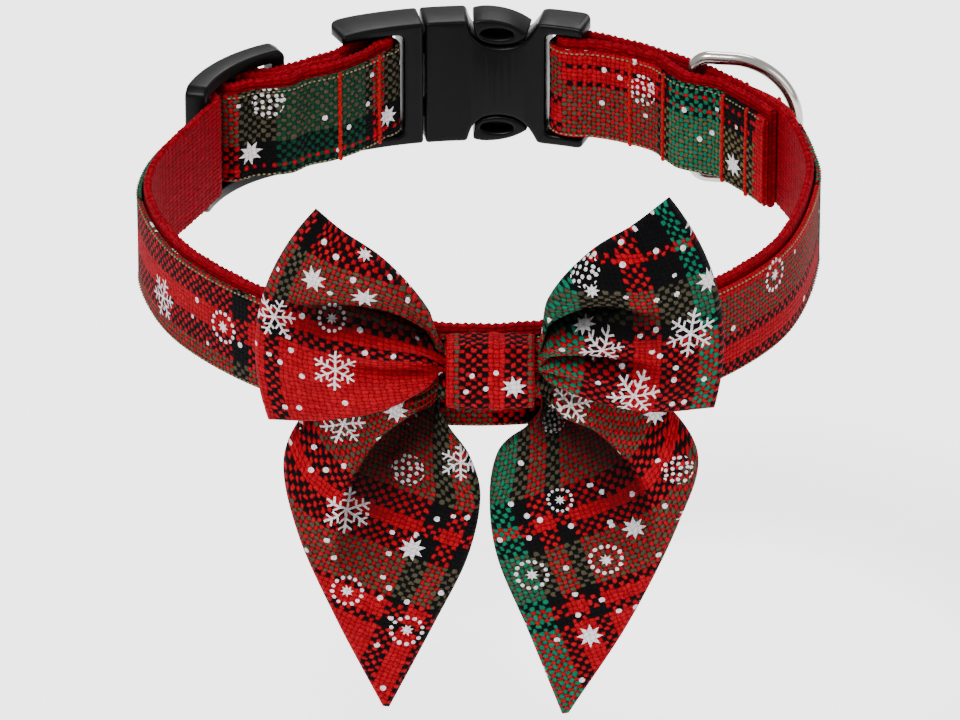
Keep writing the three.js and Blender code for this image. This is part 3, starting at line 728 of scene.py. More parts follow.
def finish_mesh(mesh: bpy.types.Mesh, name: str, materials: Iterable[bpy.types.Material],
                merge: float = 0.0, smooth_deg: float = 45.0) -> bpy.types.Object:
    """Cleans a closed mesh, turns its faces outwards and shades it smoothly.

    Args:
        mesh: The mesh.
        name: The object's name.
        materials: Its materials.
        merge: Points closer than this, in millimetres, become one.
        smooth_deg: Edges sharper than this stay sharp.

    Returns:
        The linked object.
    """
    work = bmesh.new()
    work.from_mesh(mesh)
    if merge:
        bmesh.ops.remove_doubles(work, verts=work.verts, dist=merge * MM)
        bmesh.ops.dissolve_degenerate(work, edges=work.edges, dist=merge * MM * 0.1)
    bmesh.ops.recalc_face_normals(work, faces=work.faces)
    work.to_mesh(mesh)
    work.free()
    mesh.shade_smooth()
    mesh.set_sharp_from_angle(angle=math.radians(smooth_deg))
    for material in materials:
        mesh.materials.append(material)
    piece = bpy.data.objects.new(name, mesh)
    bpy.context.scene.collection.objects.link(piece)
    return piece


def settle(piece: bpy.types.Object, body: str, slot: str, *nodes: str) -> bpy.types.Object:
    """Ties a finished piece to its body and hides the nodes it stands for.

    Args:
        piece: The piece.
        body: The body it moves with.
        slot: Its material slot in the record; it is not used.
        *nodes: The nodes that it replaces.

    Returns:
        The piece.
    """
    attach(piece, body)
    if nodes:
        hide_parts(*nodes)
    faces = len(piece.data.polygons)
    log.info("%s: %d faces on %s", piece.name, faces, body)
    return piece


@dataclass(frozen=True)
class Placed:
    """An ornament at a pixel of the photo."""

    motif: Motif
    column: float
    row: float
    scale: float = 1.0
    turn_deg: float = 0.0


@dataclass
class Printer:
    """Lays printed ornaments on a piece of cloth, as a UV map of its own and a number for each face."""

    studio: Studio
    seed: int
    spacing: float = 1.2
    margin: float = 1.35

    def lay(self, piece: bpy.types.Object, placed: Sequence[Placed], dots: int, ornaments: int,
            hidden: Callable[[Vector, Vector], bool]) -> None:
        """Prints a piece.

        Args:
            piece: The cloth.
            placed: Ornaments at pixels of the photo.
            dots: How many more small dots are tried, anywhere.
            ornaments: How many more ornaments are tried where the photo doesn't look.
            hidden: Says whether a point with a normal lies there.
        """
        mesh = piece.data
        tree = BVHTree.FromObject(piece, bpy.context.evaluated_depsgraph_get())
        spots: list[tuple[Vector, Vector, float, float, int]] = []
        for item in placed:
            ray = self.studio.ray(item.column, item.row)
            hit, normal, _, _ = tree.ray_cast(self.studio.eye * MM, ray)
            if hit is None:
                log.info("%s: the print at %g, %g misses it", piece.name, item.column, item.row)
                continue
            size = MOTIF_SIZE[item.motif] * item.scale
            spots.append((hit / MM, normal, size, math.radians(item.turn_deg), item.motif.value))
        centres = np.empty(len(mesh.polygons) * 3, np.float32)
        mesh.polygons.foreach_get("center", centres)
        centres = centres.reshape(-1, 3) / MM
        normals = np.empty(len(mesh.polygons) * 3, np.float32)
        mesh.polygons.foreach_get("normal", normals)
        normals = normals.reshape(-1, 3)
        areas = np.empty(len(mesh.polygons), np.float32)
        mesh.polygons.foreach_get("area", areas)
        chance = random.Random(self.seed)
        draw = np.cumsum(areas) / areas.sum()
        kinds = [Motif.STAR, Motif.SNOWFLAKE, Motif.RING, Motif.CLUSTER, Motif.STAR]
        for index in range(ornaments + dots):
            motif = kinds[index % len(kinds)] if index < ornaments else Motif.DOT
            face = min(int(np.searchsorted(draw, chance.random())), len(areas) - 1)
            turn = chance.uniform(0, math.tau)
            scale = chance.uniform(0.8, 1.05)
            centre, normal = Vector(centres[face]), Vector(normals[face])
            if motif is not Motif.DOT and not hidden(centre, normal):
                continue
            size = MOTIF_SIZE[motif] * scale
            if any((centre - other[0]).length < size + other[2] + self.spacing for other in spots):
                continue
            spots.append((centre, normal, size, turn, motif.value))
        self.paint(mesh, centres, normals, spots)

    def paint(self, mesh: bpy.types.Mesh, centres: np.ndarray, normals: np.ndarray, spots: list) -> None:
        """Writes each face's nearest ornament.

        Args:
            mesh: The cloth's mesh.
            centres: The faces' centres.
            normals: Their normals.
            spots: Centre, normal, size, turn and number of each ornament.
        """
        layer = mesh.uv_layers.new(name="motif")
        kind = np.zeros(len(mesh.polygons), np.float32)
        nearest = np.full(len(mesh.polygons), self.margin)
        starts = np.empty(len(mesh.polygons), np.int32)
        totals = np.empty(len(mesh.polygons), np.int32)
        mesh.polygons.foreach_get("loop_start", starts)
        mesh.polygons.foreach_get("loop_total", totals)
        corners = np.empty(len(mesh.loops), np.int32)
        mesh.loops.foreach_get("vertex_index", corners)
        points = np.empty(len(mesh.vertices) * 3, np.float32)
        mesh.vertices.foreach_get("co", points)
        points = points.reshape(-1, 3) / MM
        uv = np.full((len(mesh.loops), 2), 9.0, np.float32)
        for centre, normal, size, turn, number in spots:
            side = Vector((0, 0, 1)).cross(normal)
            side = (side if side.length > 0.05 else Vector((1, 0, 0))).normalized()
            up = normal.cross(side)
            first = side * math.cos(turn) + up * math.sin(turn)
            second = up * math.cos(turn) - side * math.sin(turn)
            away = centres - np.array(centre)
            share = np.linalg.norm(away, axis=1) / size
            closer = (share < nearest) & (normals @ np.array(normal) > 0.1)
            nearest[closer] = share[closer]
            kind[closer] = number
            for face in np.nonzero(closer)[0]:
                loops = slice(starts[face], starts[face] + totals[face])
                off = points[corners[loops]] - np.array(centre)
                uv[loops, 0] = off @ np.array(first) / size
                uv[loops, 1] = off @ np.array(second) / size
        layer.data.foreach_set("uv", uv.ravel())
        attribute = mesh.attributes.new("motif_kind", "FLOAT", "FACE")
        attribute.data.foreach_set("value", kind)


def smooth_line(points: np.ndarray, step: float) -> np.ndarray:
    """Draws a smooth line through points and divides it evenly.

    Args:
        points: The points, two or three numbers each.
        step: The distance between the new points.

    Returns:
        The new points.
    """
    gaps = np.linalg.norm(np.diff(points, axis=0), axis=1)
    at = np.concatenate([[0.0], np.cumsum(gaps)])
    slope = np.gradient(points, at, axis=0)
    count = max(int(at[-1] / step), 2)
    wanted = np.linspace(0.0, at[-1], count + 1)
    piece = np.clip(np.searchsorted(at, wanted, side="right") - 1, 0, len(gaps) - 1)
    span = gaps[piece][:, None]
    t = (wanted - at[piece])[:, None] / span
    start, end = points[piece], points[piece + 1]
    rise = 3 * t**2 - 2 * t**3
    return ((1 - rise) * start + rise * end + (t**3 - 2 * t**2 + t) * span * slope[piece]
            + (t**3 - t**2) * span * slope[piece + 1])


def even_loop(points: Sequence[tuple[float, float]], count: int) -> tuple[np.ndarray, np.ndarray, np.ndarray]:
    """Divides a closed line evenly.

    Args:
        points: The line's points; the first isn't repeated.
        count: How many points are wanted.

    Returns:
        The new points, the way to the outside at each, and the distances along the line, closed.
    """
    closed = np.array([*points, points[0]])
    at = np.concatenate([[0.0], np.cumsum(np.linalg.norm(np.diff(closed, axis=0), axis=1))])
    wanted = np.linspace(0, at[-1], count + 1)
    line = np.stack([np.interp(wanted, at, closed[:, column]) for column in (0, 1)], axis=1)[:-1]
    ahead = np.roll(line, -1, axis=0) - np.roll(line, 1, axis=0)
    ahead /= np.linalg.norm(ahead, axis=1)[:, None]
    return line, np.stack([ahead[:, 1], -ahead[:, 0]], axis=1), wanted


def ribbon_route(node: str, start_angle_deg: float) -> tuple[np.ndarray, float]:
    """Finds the line that a CAD ribbon follows, seen from above.

    Args:
        node: The ribbon's node.
        start_angle_deg: The angle round the loop, from +Y towards +X, where it starts.

    Returns:
        Points along its middle, and its thickness.
    """
    work = bmesh.new()
    work.from_mesh(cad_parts[node].data)
    bmesh.ops.remove_doubles(work, verts=work.verts, dist=1e-6)
    top = max(vertex.co.z for vertex in work.verts)
    on_top = {vertex.index for vertex in work.verts if vertex.co.z > top - 1e-6}
    beside: dict[int, list[int]] = {}
    for edge in work.edges:
        first, second = (vertex.index for vertex in edge.verts)
        if first in on_top and second in on_top:
            caps = sum(all(v.index in on_top for v in face.verts) for face in edge.link_faces)
            if caps == 1:
                beside.setdefault(first, []).append(second)
                beside.setdefault(second, []).append(first)
    work.verts.ensure_lookup_table()
    start = next(iter(beside))
    loop, previous, here = [start], start, beside[start][0]
    while here != start:
        loop.append(here)
        onward = [other for other in beside[here] if other != previous][0]
        previous, here = here, onward
    outline = np.array([work.verts[index].co[:2] for index in loop]) / MM
    work.free()
    total = len(outline)
    best = None
    for shift in range(total):
        turned = np.roll(outline, -shift, axis=0)
        widths = np.linalg.norm(turned[: total // 2] - turned[total // 2:][::-1], axis=1)
        if best is None or widths.max() < best[0]:
            best = (widths.max(), turned, widths.mean())
    _, turned, thickness = best
    middle = (turned[: total // 2] + turned[total // 2:][::-1]) / 2
    wanted = np.array([math.sin(math.radians(start_angle_deg)), math.cos(math.radians(start_angle_deg))])
    ends = [np.dot(end / np.linalg.norm(end), wanted) for end in (middle[0], middle[-1])]
    return (middle if ends[0] > ends[1] else middle[::-1]), thickness


@dataclass
class Ribbon:
    """A woven band on edge that follows a CAD ribbon's route."""

    node: str
    slot: str
    step: float = 0.62
    edge_share: float = 0.46
    flat_columns: int = 25
    corner_steps: int = 4
    start_angle_deg: float = 66.0

    def __post_init__(self) -> None:
        """Reads the route and the band's height from the frame."""
        route, self.thickness = ribbon_route(self.node, self.start_angle_deg)
        self.line = smooth_line(route, self.step)
        low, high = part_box(self.node)
        self.low, self.high = low.z / MM, high.z / MM
        ahead = np.gradient(self.line, axis=0)
        ahead /= np.linalg.norm(ahead, axis=1)[:, None]
        self.outward = np.stack([-ahead[:, 1], ahead[:, 0]], axis=1)
        gaps = np.linalg.norm(np.diff(self.line, axis=0), axis=1)
        self.at = np.concatenate([[0.0], np.cumsum(gaps)])

    def section(self) -> np.ndarray:
        """Draws the band's rounded cross-section.

        Returns:
            Pairs of distance outward from the middle, and height.
        """
        half = self.thickness / 2
        corner = self.thickness * self.edge_share
        heights = np.linspace(self.low + corner, self.high - corner, self.flat_columns)
        turns = np.linspace(0, math.pi / 2, self.corner_steps + 1)[1:]
        arc = [(half - corner + corner * math.cos(a), self.high - corner + corner * math.sin(a))
               for a in turns]
        tops = arc + [(-x, z) for x, z in reversed(arc)]
        bottoms = [(-x, self.low + self.high - z) for x, z in tops]
        outside, inside = [(half, z) for z in heights], [(-half, z) for z in heights[::-1]]
        return np.array([*outside, *tops, *inside, *bottoms])

    def place(self, at: np.ndarray, outward: np.ndarray | float,
              height: np.ndarray | float) -> np.ndarray:
        """Finds points beside the line.

        Args:
            at: Distances along the band.
            outward: Distances outward from its middle.
            height: Heights.

        Returns:
            The points.
        """
        x, y, nx, ny = (np.interp(at, self.at, column) for column in
                        (self.line[:, 0], self.line[:, 1], self.outward[:, 0], self.outward[:, 1]))
        outward = np.broadcast_to(outward, np.shape(at))
        height = np.broadcast_to(height, np.shape(at))
        return np.stack([x + nx * outward, y + ny * outward, height], axis=-1)

    def shift(self, at: np.ndarray, out: np.ndarray, height: np.ndarray) -> tuple[np.ndarray, np.ndarray]:
        """Adds the band's own unevenness; a plain ribbon has none."""
        return out, height

    def build(self, materials: list[bpy.types.Material]) -> bpy.types.Object:
        """Makes the band.

        Args:
            materials: Its materials.

        Returns:
            The band.
        """
        section = self.section()
        rim = np.linalg.norm(np.diff(np.vstack([section, section[:1]]), axis=0), axis=1)
        along_rim = np.concatenate([[0.0], np.cumsum(rim)]) + self.low
        at = np.repeat(self.at[:, None], len(section), axis=1)
        out = np.repeat(section[None, :, 0], len(self.at), axis=0)
        height = np.repeat(section[None, :, 1], len(self.at), axis=0)
        out, height = self.shift(at, out, height)
        points = self.place(at, out, height)
        uv = np.stack(np.meshgrid(self.at, along_rim, indexing="ij"), axis=-1)
        pen = MeshPen()
        base = pen.grid(points, uv, wrap=True)
        size = len(section)
        for row in (0, len(self.at) - 1):
            pen.face([base + row * size + column for column in range(size)], section)
        return pen.finish(self.node + "_cloth", materials)


@dataclass
class WebbingStrap(Ribbon):
    """The red webbing, thick and a little fuzzy, with rounded selvedges."""

    rib_pitch: float = 1.3
    rib_height: float = 0.2
    wander: float = 0.22

    def shift(self, at: np.ndarray, out: np.ndarray, height: np.ndarray) -> tuple[np.ndarray, np.ndarray]:
        """Adds ribs along the selvedges and a slow wander of the edge.

        Args:
            at: Distances along the band.
            out: Distances outward.
            height: Heights.

        Returns:
            The changed distances outward and heights.
        """
        middle, half = (self.low + self.high) / 2, (self.high - self.low) / 2
        edge = np.clip((np.abs(height - middle) - half + 1.4) / 1.4, 0, 1)
        rib = np.sin(at * math.tau / self.rib_pitch)
        slow = np.sin(at * 0.31) * 0.5 + np.sin(at * 0.83 + 1.3) * 0.5
        sign = np.sign(height - middle)
        height = height + sign * edge * (rib * self.rib_height + slow * self.wander * 0.5 - self.wander * 0.4)
        swell = 1 + 0.10 * edge * rib
        return out * swell, height


@dataclass
class PlaidFacing(Ribbon):
    """The plaid cloth sewn on the webbing, pulled in along its two seams."""

    seam_inset: float = 0.5
    seam_depth: float = 0.16
    seam_width: float = 0.4
    crown: float = 0.12

    def shift(self, at: np.ndarray, out: np.ndarray, height: np.ndarray) -> tuple[np.ndarray, np.ndarray]:
        """Presses the cloth in along the seams.

        Args:
            at: Distances along the band.
            out: Distances outward.
            height: Heights.

        Returns:
            The changed distances outward and heights.
        """
        middle, half = (self.low + self.high) / 2, (self.high - self.low) / 2
        off = (np.abs(height - middle) - (half - self.seam_inset)) / self.seam_width
        outer = out > 0
        pucker = 1 + 0.35 * np.sin(at * math.tau / 2.3)
        press = self.seam_depth * pucker * np.exp(-off**2)
        soft = self.crown * (1 - ((height - middle) / half) ** 2) * np.sin(at * 0.21 + 0.4)
        return out + outer * (soft - press), height

    def seam_lines(self) -> list[np.ndarray]:
        """Finds the two seams on the cloth's outer side.

        Returns:
            A line for each seam.
        """
        heights = (self.high - self.seam_inset, self.low + self.seam_inset)
        keep = self.at[(self.at > 1.5) & (self.at < self.at[-1] - 1.5)]
        return [self.place(keep, self.thickness / 2 - self.seam_depth + 0.12, height) for height in heights]

    def across_at(self, at: float, out: float, zigzag: float) -> np.ndarray:
        """Draws a thread up and down across the cloth.

        Args:
            at: The distance along the band.
            out: How far it lies outward from the cloth's outer side.
            zigzag: How far it swings to either side.

        Returns:
            The thread's line.
        """
        count = 21
        heights = np.linspace(self.low + 0.35, self.high - 0.3, count)
        swing = np.where(np.arange(count) % 2 == 0, -zigzag, zigzag)
        return self.place(at + swing, self.thickness / 2 + out, heights)


@dataclass
class Sewing:
    """Lays stitches along lines with one geometry-node tree."""

    seed: int = 7
    tree: bpy.types.NodeTree = field(init=False)
    sockets: dict = field(init=False)

    def __post_init__(self) -> None:
        """Builds the tree: points along the line, a round stitch on each, turned along the line."""
        self.tree = bpy.data.node_groups.new("stitches", "GeometryNodeTree")
        face = self.tree.interface
        face.new_socket("Geometry", in_out="INPUT", socket_type="NodeSocketGeometry")
        kinds = {"Pitch": "NodeSocketFloat", "Length": "NodeSocketFloat", "Width": "NodeSocketFloat",
                 "Material": "NodeSocketMaterial"}
        self.sockets = {name: face.new_socket(name, in_out="INPUT", socket_type=kind).identifier
                        for name, kind in kinds.items()}
        face.new_socket("Geometry", in_out="OUTPUT", socket_type="NodeSocketGeometry")
        g = Graph(self.tree)
        given = g.add("NodeGroupInput")
        curve = g.add("GeometryNodeMeshToCurve", {"Mesh": given.outputs["Geometry"]})
        feeds = {"Curve": curve.outputs[0], "Length": given.outputs["Pitch"]}
        spaced = g.add("GeometryNodeResampleCurve", feeds, mode="LENGTH")
        tangent = g.add("GeometryNodeInputTangent")
        turn = g.add("FunctionNodeAlignRotationToVector", {"Vector": tangent.outputs[0]}, axis="X")
        knot = g.add("GeometryNodeMeshUVSphere", {"Segments": 8, "Rings": 6, "Radius": 0.5})
        smooth = g.add("GeometryNodeSetShadeSmooth", {"Geometry": knot.outputs["Mesh"]})
        size = g.add("ShaderNodeCombineXYZ", {0: given.outputs["Length"], 1: given.outputs["Width"],
                                              2: given.outputs["Width"]})
        vary = g.add("FunctionNodeRandomValue", {2: 0.88, 3: 1.1, "Seed": self.seed}, data_type="FLOAT")
        scaled = g.scaled(size.outputs[0], vary.outputs[1])
        laid = g.add("GeometryNodeInstanceOnPoints", {
            "Points": spaced.outputs[0], "Instance": smooth.outputs[0],
            "Rotation": turn.outputs[0], "Scale": scaled})
        real = g.add("GeometryNodeRealizeInstances", {"Geometry": laid.outputs[0]})
        feeds = {"Geometry": real.outputs[0], "Material": given.outputs["Material"]}
        dyed = g.add("GeometryNodeSetMaterial", feeds)
        out = g.add("NodeGroupOutput")
        self.tree.links.new(dyed.outputs[0], out.inputs[0])

    def sew(self, name: str, lines: Sequence[np.ndarray], pitch: float, length: float, width: float,
            material: bpy.types.Material) -> bpy.types.Object:
        """Sews along lines.

        Args:
            name: The thread's name.
            lines: The lines, in millimetres.
            pitch: The distance between stitches.
            length: A stitch's length.
            width: The thread's width.
            material: Its material.

        Returns:
            The stitches as one plain mesh.
        """
        points = [tuple(point * MM) for line in lines for point in line]
        edges, start = [], 0
        for line in lines:
            edges += [(start + index, start + index + 1) for index in range(len(line) - 1)]
            start += len(line)
        mesh = bpy.data.meshes.new(name)
        mesh.from_pydata(points, edges, [])
        drawn = bpy.data.objects.new(name, mesh)
        bpy.context.scene.collection.objects.link(drawn)
        modifier = drawn.modifiers.new("stitches", "NODES")
        modifier.node_group = self.tree
        values = {"Pitch": pitch * MM, "Length": length * MM, "Width": width * MM, "Material": material}
        for key, value in values.items():
            modifier[self.sockets[key]] = value
        ready = drawn.evaluated_get(bpy.context.evaluated_depsgraph_get())
        drawn_mesh = bpy.data.meshes.new_from_object(ready)
        drawn.modifiers.clear()
        drawn.data = drawn_mesh
        bpy.data.meshes.remove(mesh)
        return drawn


@dataclass
class Plate:
    """A flat moulded plate with rounded rims, which is then bent round the loop."""

    thickness: float
    edge: float
    rim_steps: int = 4

    def inset(self, outline: np.ndarray, distance: float) -> np.ndarray:
        """Moves an outline inwards.

        Args:
            outline: Its points, anticlockwise; a hole runs clockwise.
            distance: How far it moves.

        Returns:
            The moved points.
        """
        before = outline - np.roll(outline, 1, axis=0)
        after = np.roll(outline, -1, axis=0) - outline
        before /= np.linalg.norm(before, axis=1)[:, None]
        after /= np.linalg.norm(after, axis=1)[:, None]
        normal_before = np.stack([-before[:, 1], before[:, 0]], axis=1)
        normal_after = np.stack([-after[:, 1], after[:, 0]], axis=1)
        both = normal_before + normal_after
        lean = np.maximum(1 + (normal_before * normal_after).sum(1), 0.35)
        return outline + both * (distance / lean)[:, None]

    def add_to(self, work: bmesh.types.BMesh, outer: Sequence[tuple[float, float]],
               holes: Sequence[Sequence[tuple[float, float]]] = (), out: float = 0.0) -> None:
        """Adds the plate to a mesh, its outline in X and Z and its thickness along Y.

        Args:
            work: The mesh.
            outer: The outer outline.
            holes: The holes' outlines.
            out: The plate's middle along Y.
        """
        half = self.thickness / 2
        turns = np.linspace(0, math.pi / 2, self.rim_steps + 1)
        levels = [(self.edge - self.edge * math.cos(a), half - self.edge + self.edge * math.sin(a))
                  for a in turns]
        levels = [(inward, -rise) for inward, rise in reversed(levels)] + levels
        caps: dict[int, list] = {0: [], len(levels) - 1: []}
        for index, contour in enumerate([outer, *holes]):
            path = np.array(contour, float)
            shifted = np.roll(path, -1, axis=0)
            area = (path[:, 0] * shifted[:, 1] - shifted[:, 0] * path[:, 1]).sum()
            if (area > 0) != (index == 0):
                path = path[::-1]
            rings = []
            for inward, rise in levels:
                moved = self.inset(path, inward)
                rings.append([work.verts.new((x, out + rise, z)) for x, z in moved])
            for low, high in zip(rings, rings[1:]):
                for here in range(len(path)):
                    there = (here + 1) % len(path)
                    work.faces.new((low[here], low[there], high[there], high[here]))
            for level, edges in caps.items():
                ring = rings[level]
                edges += [work.edges.get(pair) for pair in zip(ring, [*ring[1:], ring[0]])]
        for edges in caps.values():
            bmesh.ops.triangle_fill(work, use_beauty=True, use_dissolve=False, edges=edges)


def add_rod(work: bmesh.types.BMesh, diameter: float, length: float, x: float, y: float,
            sides: int = 24) -> None:
    """Adds an upright round bar.

    Args:
        work: The mesh.
        diameter: The bar's diameter.
        length: Its length.
        x: Its place along the piece.
        y: Its place outward.
        sides: How round it is.
    """
    made = bmesh.ops.create_cone(work, cap_ends=True, segments=sides, radius1=diameter / 2,
                                 radius2=diameter / 2, depth=length)
    bmesh.ops.translate(work, verts=made["verts"], vec=(x, y, 0))


def add_block(work: bmesh.types.BMesh, size: tuple[float, float, float],
              centre: tuple[float, float, float]) -> None:
    """Adds a block.

    Args:
        work: The mesh.
        size: Its sizes.
        centre: Its centre.
    """
    made = bmesh.ops.create_cube(work, size=1.0)
    bmesh.ops.scale(work, verts=made["verts"], vec=size)
    bmesh.ops.translate(work, verts=made["verts"], vec=centre)


def bend_mesh(work: bmesh.types.BMesh, name: str, radius: float, slice_length: float,
              place: Callable[[float, float], tuple[float, float]] | None = None,
              trim: Callable[[float, float], float] | None = None) -> bpy.types.Mesh:
    """Slices a straight piece and bends it round an upright axis.

    Args:
        work: The piece, X along the arc and Y outward. It is freed.
        name: The new mesh's name.
        radius: The arc's radius.
        slice_length: The distance between slices.
        place: Moves a bent point, seen from above, to its place in the collar.
        trim: Changes how far outward a point lies, from its place along the piece and outward.

    Returns:
        The bent mesh, in metres.
    """
    low = min(vertex.co.x for vertex in work.verts)
    high = max(vertex.co.x for vertex in work.verts)
    cut = math.ceil(low / slice_length) * slice_length
    while cut < high:
        geometry = work.verts[:] + work.edges[:] + work.faces[:]
        bmesh.ops.bisect_plane(work, geom=geometry, dist=1e-4, plane_co=(cut, 0, 0), plane_no=(1, 0, 0))
        cut += slice_length
    for vertex in work.verts:
        angle = vertex.co.x / radius
        reach = radius + (trim(vertex.co.x, vertex.co.y) if trim else vertex.co.y)
        x, y = reach * math.sin(angle), reach * math.cos(angle)
        if place:
            x, y = place(x, y)
        vertex.co = (x * MM, y * MM, vertex.co.z * MM)
    mesh = bpy.data.meshes.new(name)
    work.to_mesh(mesh)
    work.free()
    return mesh


def mirrored(upper: Sequence[tuple[float, float, float]]) -> list[tuple[float, float, float]]:
    """Closes an upper outline of X, Z and corner radius with its mirror image below."""
    return [*upper, *((x, -z, radius) for x, z, radius in reversed(upper))]


def rounded(corners: Sequence[tuple[float, float, float]], steps: int = 5) -> list[tuple[float, float]]:
    """Rounds an outline's corners.

    Args:
        corners: X, Z and the distance from the corner where its rounding starts, 0 to keep the point.
        steps: Points in each rounding.

    Returns:
        The rounded outline.
    """
    path = np.array(corners, float)[:, :2]
    result = []
    for index, (corner, (_, _, radius)) in enumerate(zip(path, corners)):
        if not radius:
            result.append(tuple(corner))
            continue
        before, after = path[index - 1], path[(index + 1) % len(path)]
        gap_before, gap_after = np.linalg.norm(before - corner), np.linalg.norm(after - corner)
        start = corner + (before - corner) * min(radius / gap_before, 0.45)
        end = corner + (after - corner) * min(radius / gap_after, 0.45)
        for step in range(steps + 1):
            t = step / steps
            result.append(tuple((1 - t) ** 2 * start + 2 * t * (1 - t) * corner + t**2 * end))
    return result


@dataclass
class Buckle:
    """A side release buckle bent to the loop."""

    radius: float = 57.5
    height: float = 24.0
    thickness: float = 7.4
    edge: float = 0.65
    socket_bar_deg: float = 17.4
    plug_bar_deg: float = -18.9
    socket_bar_radius: float = 56.5
    plug_bar_radius: float = 56.0
    bar: float = 2.4
    fold_reach: float = 4.6
    rail: float = 2.0
    overhang: float = 1.6
    crosswall: float = 2.1
    notch_past_wall: float = 0.6
    notch_length: float = 13.5
    sleeve_length: float = 8.0
    waist: float = 13.4
    plug_rail: float = 14.2
    seam: float = 0.4
    running: float = 0.4
    wall: float = 1.6
    slice_length: float = 0.75
    nose: float = 3.4
    prong_height: float = 2.4
    notch_rows: tuple = ((0, 0), (0.03, 0.28), (0.11, 0.66), (0.26, 0.93), (0.44, 1), (0.65, 0.93),
                         (0.81, 0.7), (0.92, 0.36), (1, 0))
    head_rows: tuple = ((0.05, 0.95), (0.16, 1.02), (0.32, 1.02), (0.5, 0.94), (0.67, 0.78), (0.82, 0.55))
    eye: tuple = (0.42, 0.23, 0.5, 0.2)
    eye_depth: float = 2.4

    def __post_init__(self) -> None:
        """Works out the places along the arc."""
        self.half = self.height / 2
        self.inner_rail = self.half - self.rail
        self.socket_bar_at = math.radians(self.socket_bar_deg) * self.radius
        self.plug_bar_at = math.radians(self.plug_bar_deg) * self.radius
        self.wall_at = self.socket_bar_at - self.fold_reach
        self.frame_end = self.socket_bar_at + self.bar / 2 + self.overhang
        self.notch_start = self.wall_at - self.crosswall + self.notch_past_wall - self.notch_length
        self.sleeve_start = self.notch_start - self.sleeve_length
        self.notch_depth = self.half - self.waist / 2

    def rounded_end(self, end: float) -> Callable[[float, float], float]:
        """Rounds the outer side towards a half's far end.

        Args:
            end: The place of that end along the arc.

        Returns:
            A function that gives a point's new distance outward.
        """
        def trim(x: float, y: float) -> float:
            """Pulls a point in where it lies in the nose."""
            inside = min(abs(x - end) / self.nose, 1.0)
            limit = self.thickness / 2 - self.nose * (1 - math.sqrt(1 - (1 - inside) ** 2))
            return min(y, limit)

        return trim

    def fine(self, rows: Sequence[tuple[float, float]], count: int) -> np.ndarray:
        """Draws a smooth line of a number of points through rows."""
        line = smooth_line(np.array(rows, float), 0.01)
        return line[np.linspace(0, len(line) - 1, count).astype(int)]

    def notch(self, count: int = 25) -> list[tuple[float, float]]:
        """Draws the upper side notch, from the seam's side on."""
        return [(self.notch_start + across * self.notch_length, self.half - deep * self.notch_depth)
                for across, deep in self.fine(self.notch_rows, count)]

    def socket(self, material: bpy.types.Material) -> bpy.types.Object:
        """Makes the half with the sleeve and notches.

        Args:
            material: Its plastic.

        Returns:
            The piece.
        """
        work = bmesh.new()
        inner = self.inner_rail
        notch = self.notch()
        Plate(self.thickness, self.edge).add_to(work, rounded(mirrored([
            (self.sleeve_start, self.half, 0.7), (self.notch_start, self.half, 0.75),
            *((x, z, 0) for x, z in notch[3:-2]),
            (self.notch_start + self.notch_length, self.half, 1.6),
            (self.frame_end, self.half, 1.6), (self.frame_end, inner, 0.5), (self.wall_at, inner, 1.4)])))
        bar_out = self.socket_bar_radius - self.radius
        add_rod(work, self.bar, inner * 2 + self.rail, self.socket_bar_at, bar_out)
        mesh = bend_mesh(work, "buckle_socket_shell", self.radius, self.slice_length,
                         trim=self.rounded_end(self.frame_end))
        piece = finish_mesh(mesh, "buckle_socket_shell", [material], smooth_deg=38)
        return settle(piece, COLLAR, "buckle_plastic", "buckle_socket")

    def head(self, side: int) -> tuple[list, list]:
        """Draws a prong's head and its eye.

        Args:
            side: 1 above, -1 below.

        Returns:
            The head's outline and the eye's.
        """
        across, half_length, deep, half_height = self.eye
        start = self.notch_start + self.running
        waist = self.waist / 2
        outer = [(start + a * self.notch_length, (waist + self.notch_depth * h))
                 for a, h in self.fine(self.head_rows, 14)]
        inner = [(x, z + self.running) for x, z in self.notch() if
                 outer[0][0] + 0.3 < x < outer[-1][0] - 0.2 and z + self.running < outer[-1][1] - 0.2]
        eye = [(self.notch_start + self.notch_length * (across + half_length * math.cos(t)),
                waist + self.notch_depth * (deep + half_height * math.sin(t)))
               for t in np.linspace(0, math.tau, 29)[:-1]]
        ends = (outer[0], outer[-1])
        outline = rounded([(x, z, 0.6 if (x, z) in ends else 0) for x, z in [*outer, *inner[::-1]]])
        return [(x, z * side) for x, z in outline], [(x, z * side) for x, z in eye]

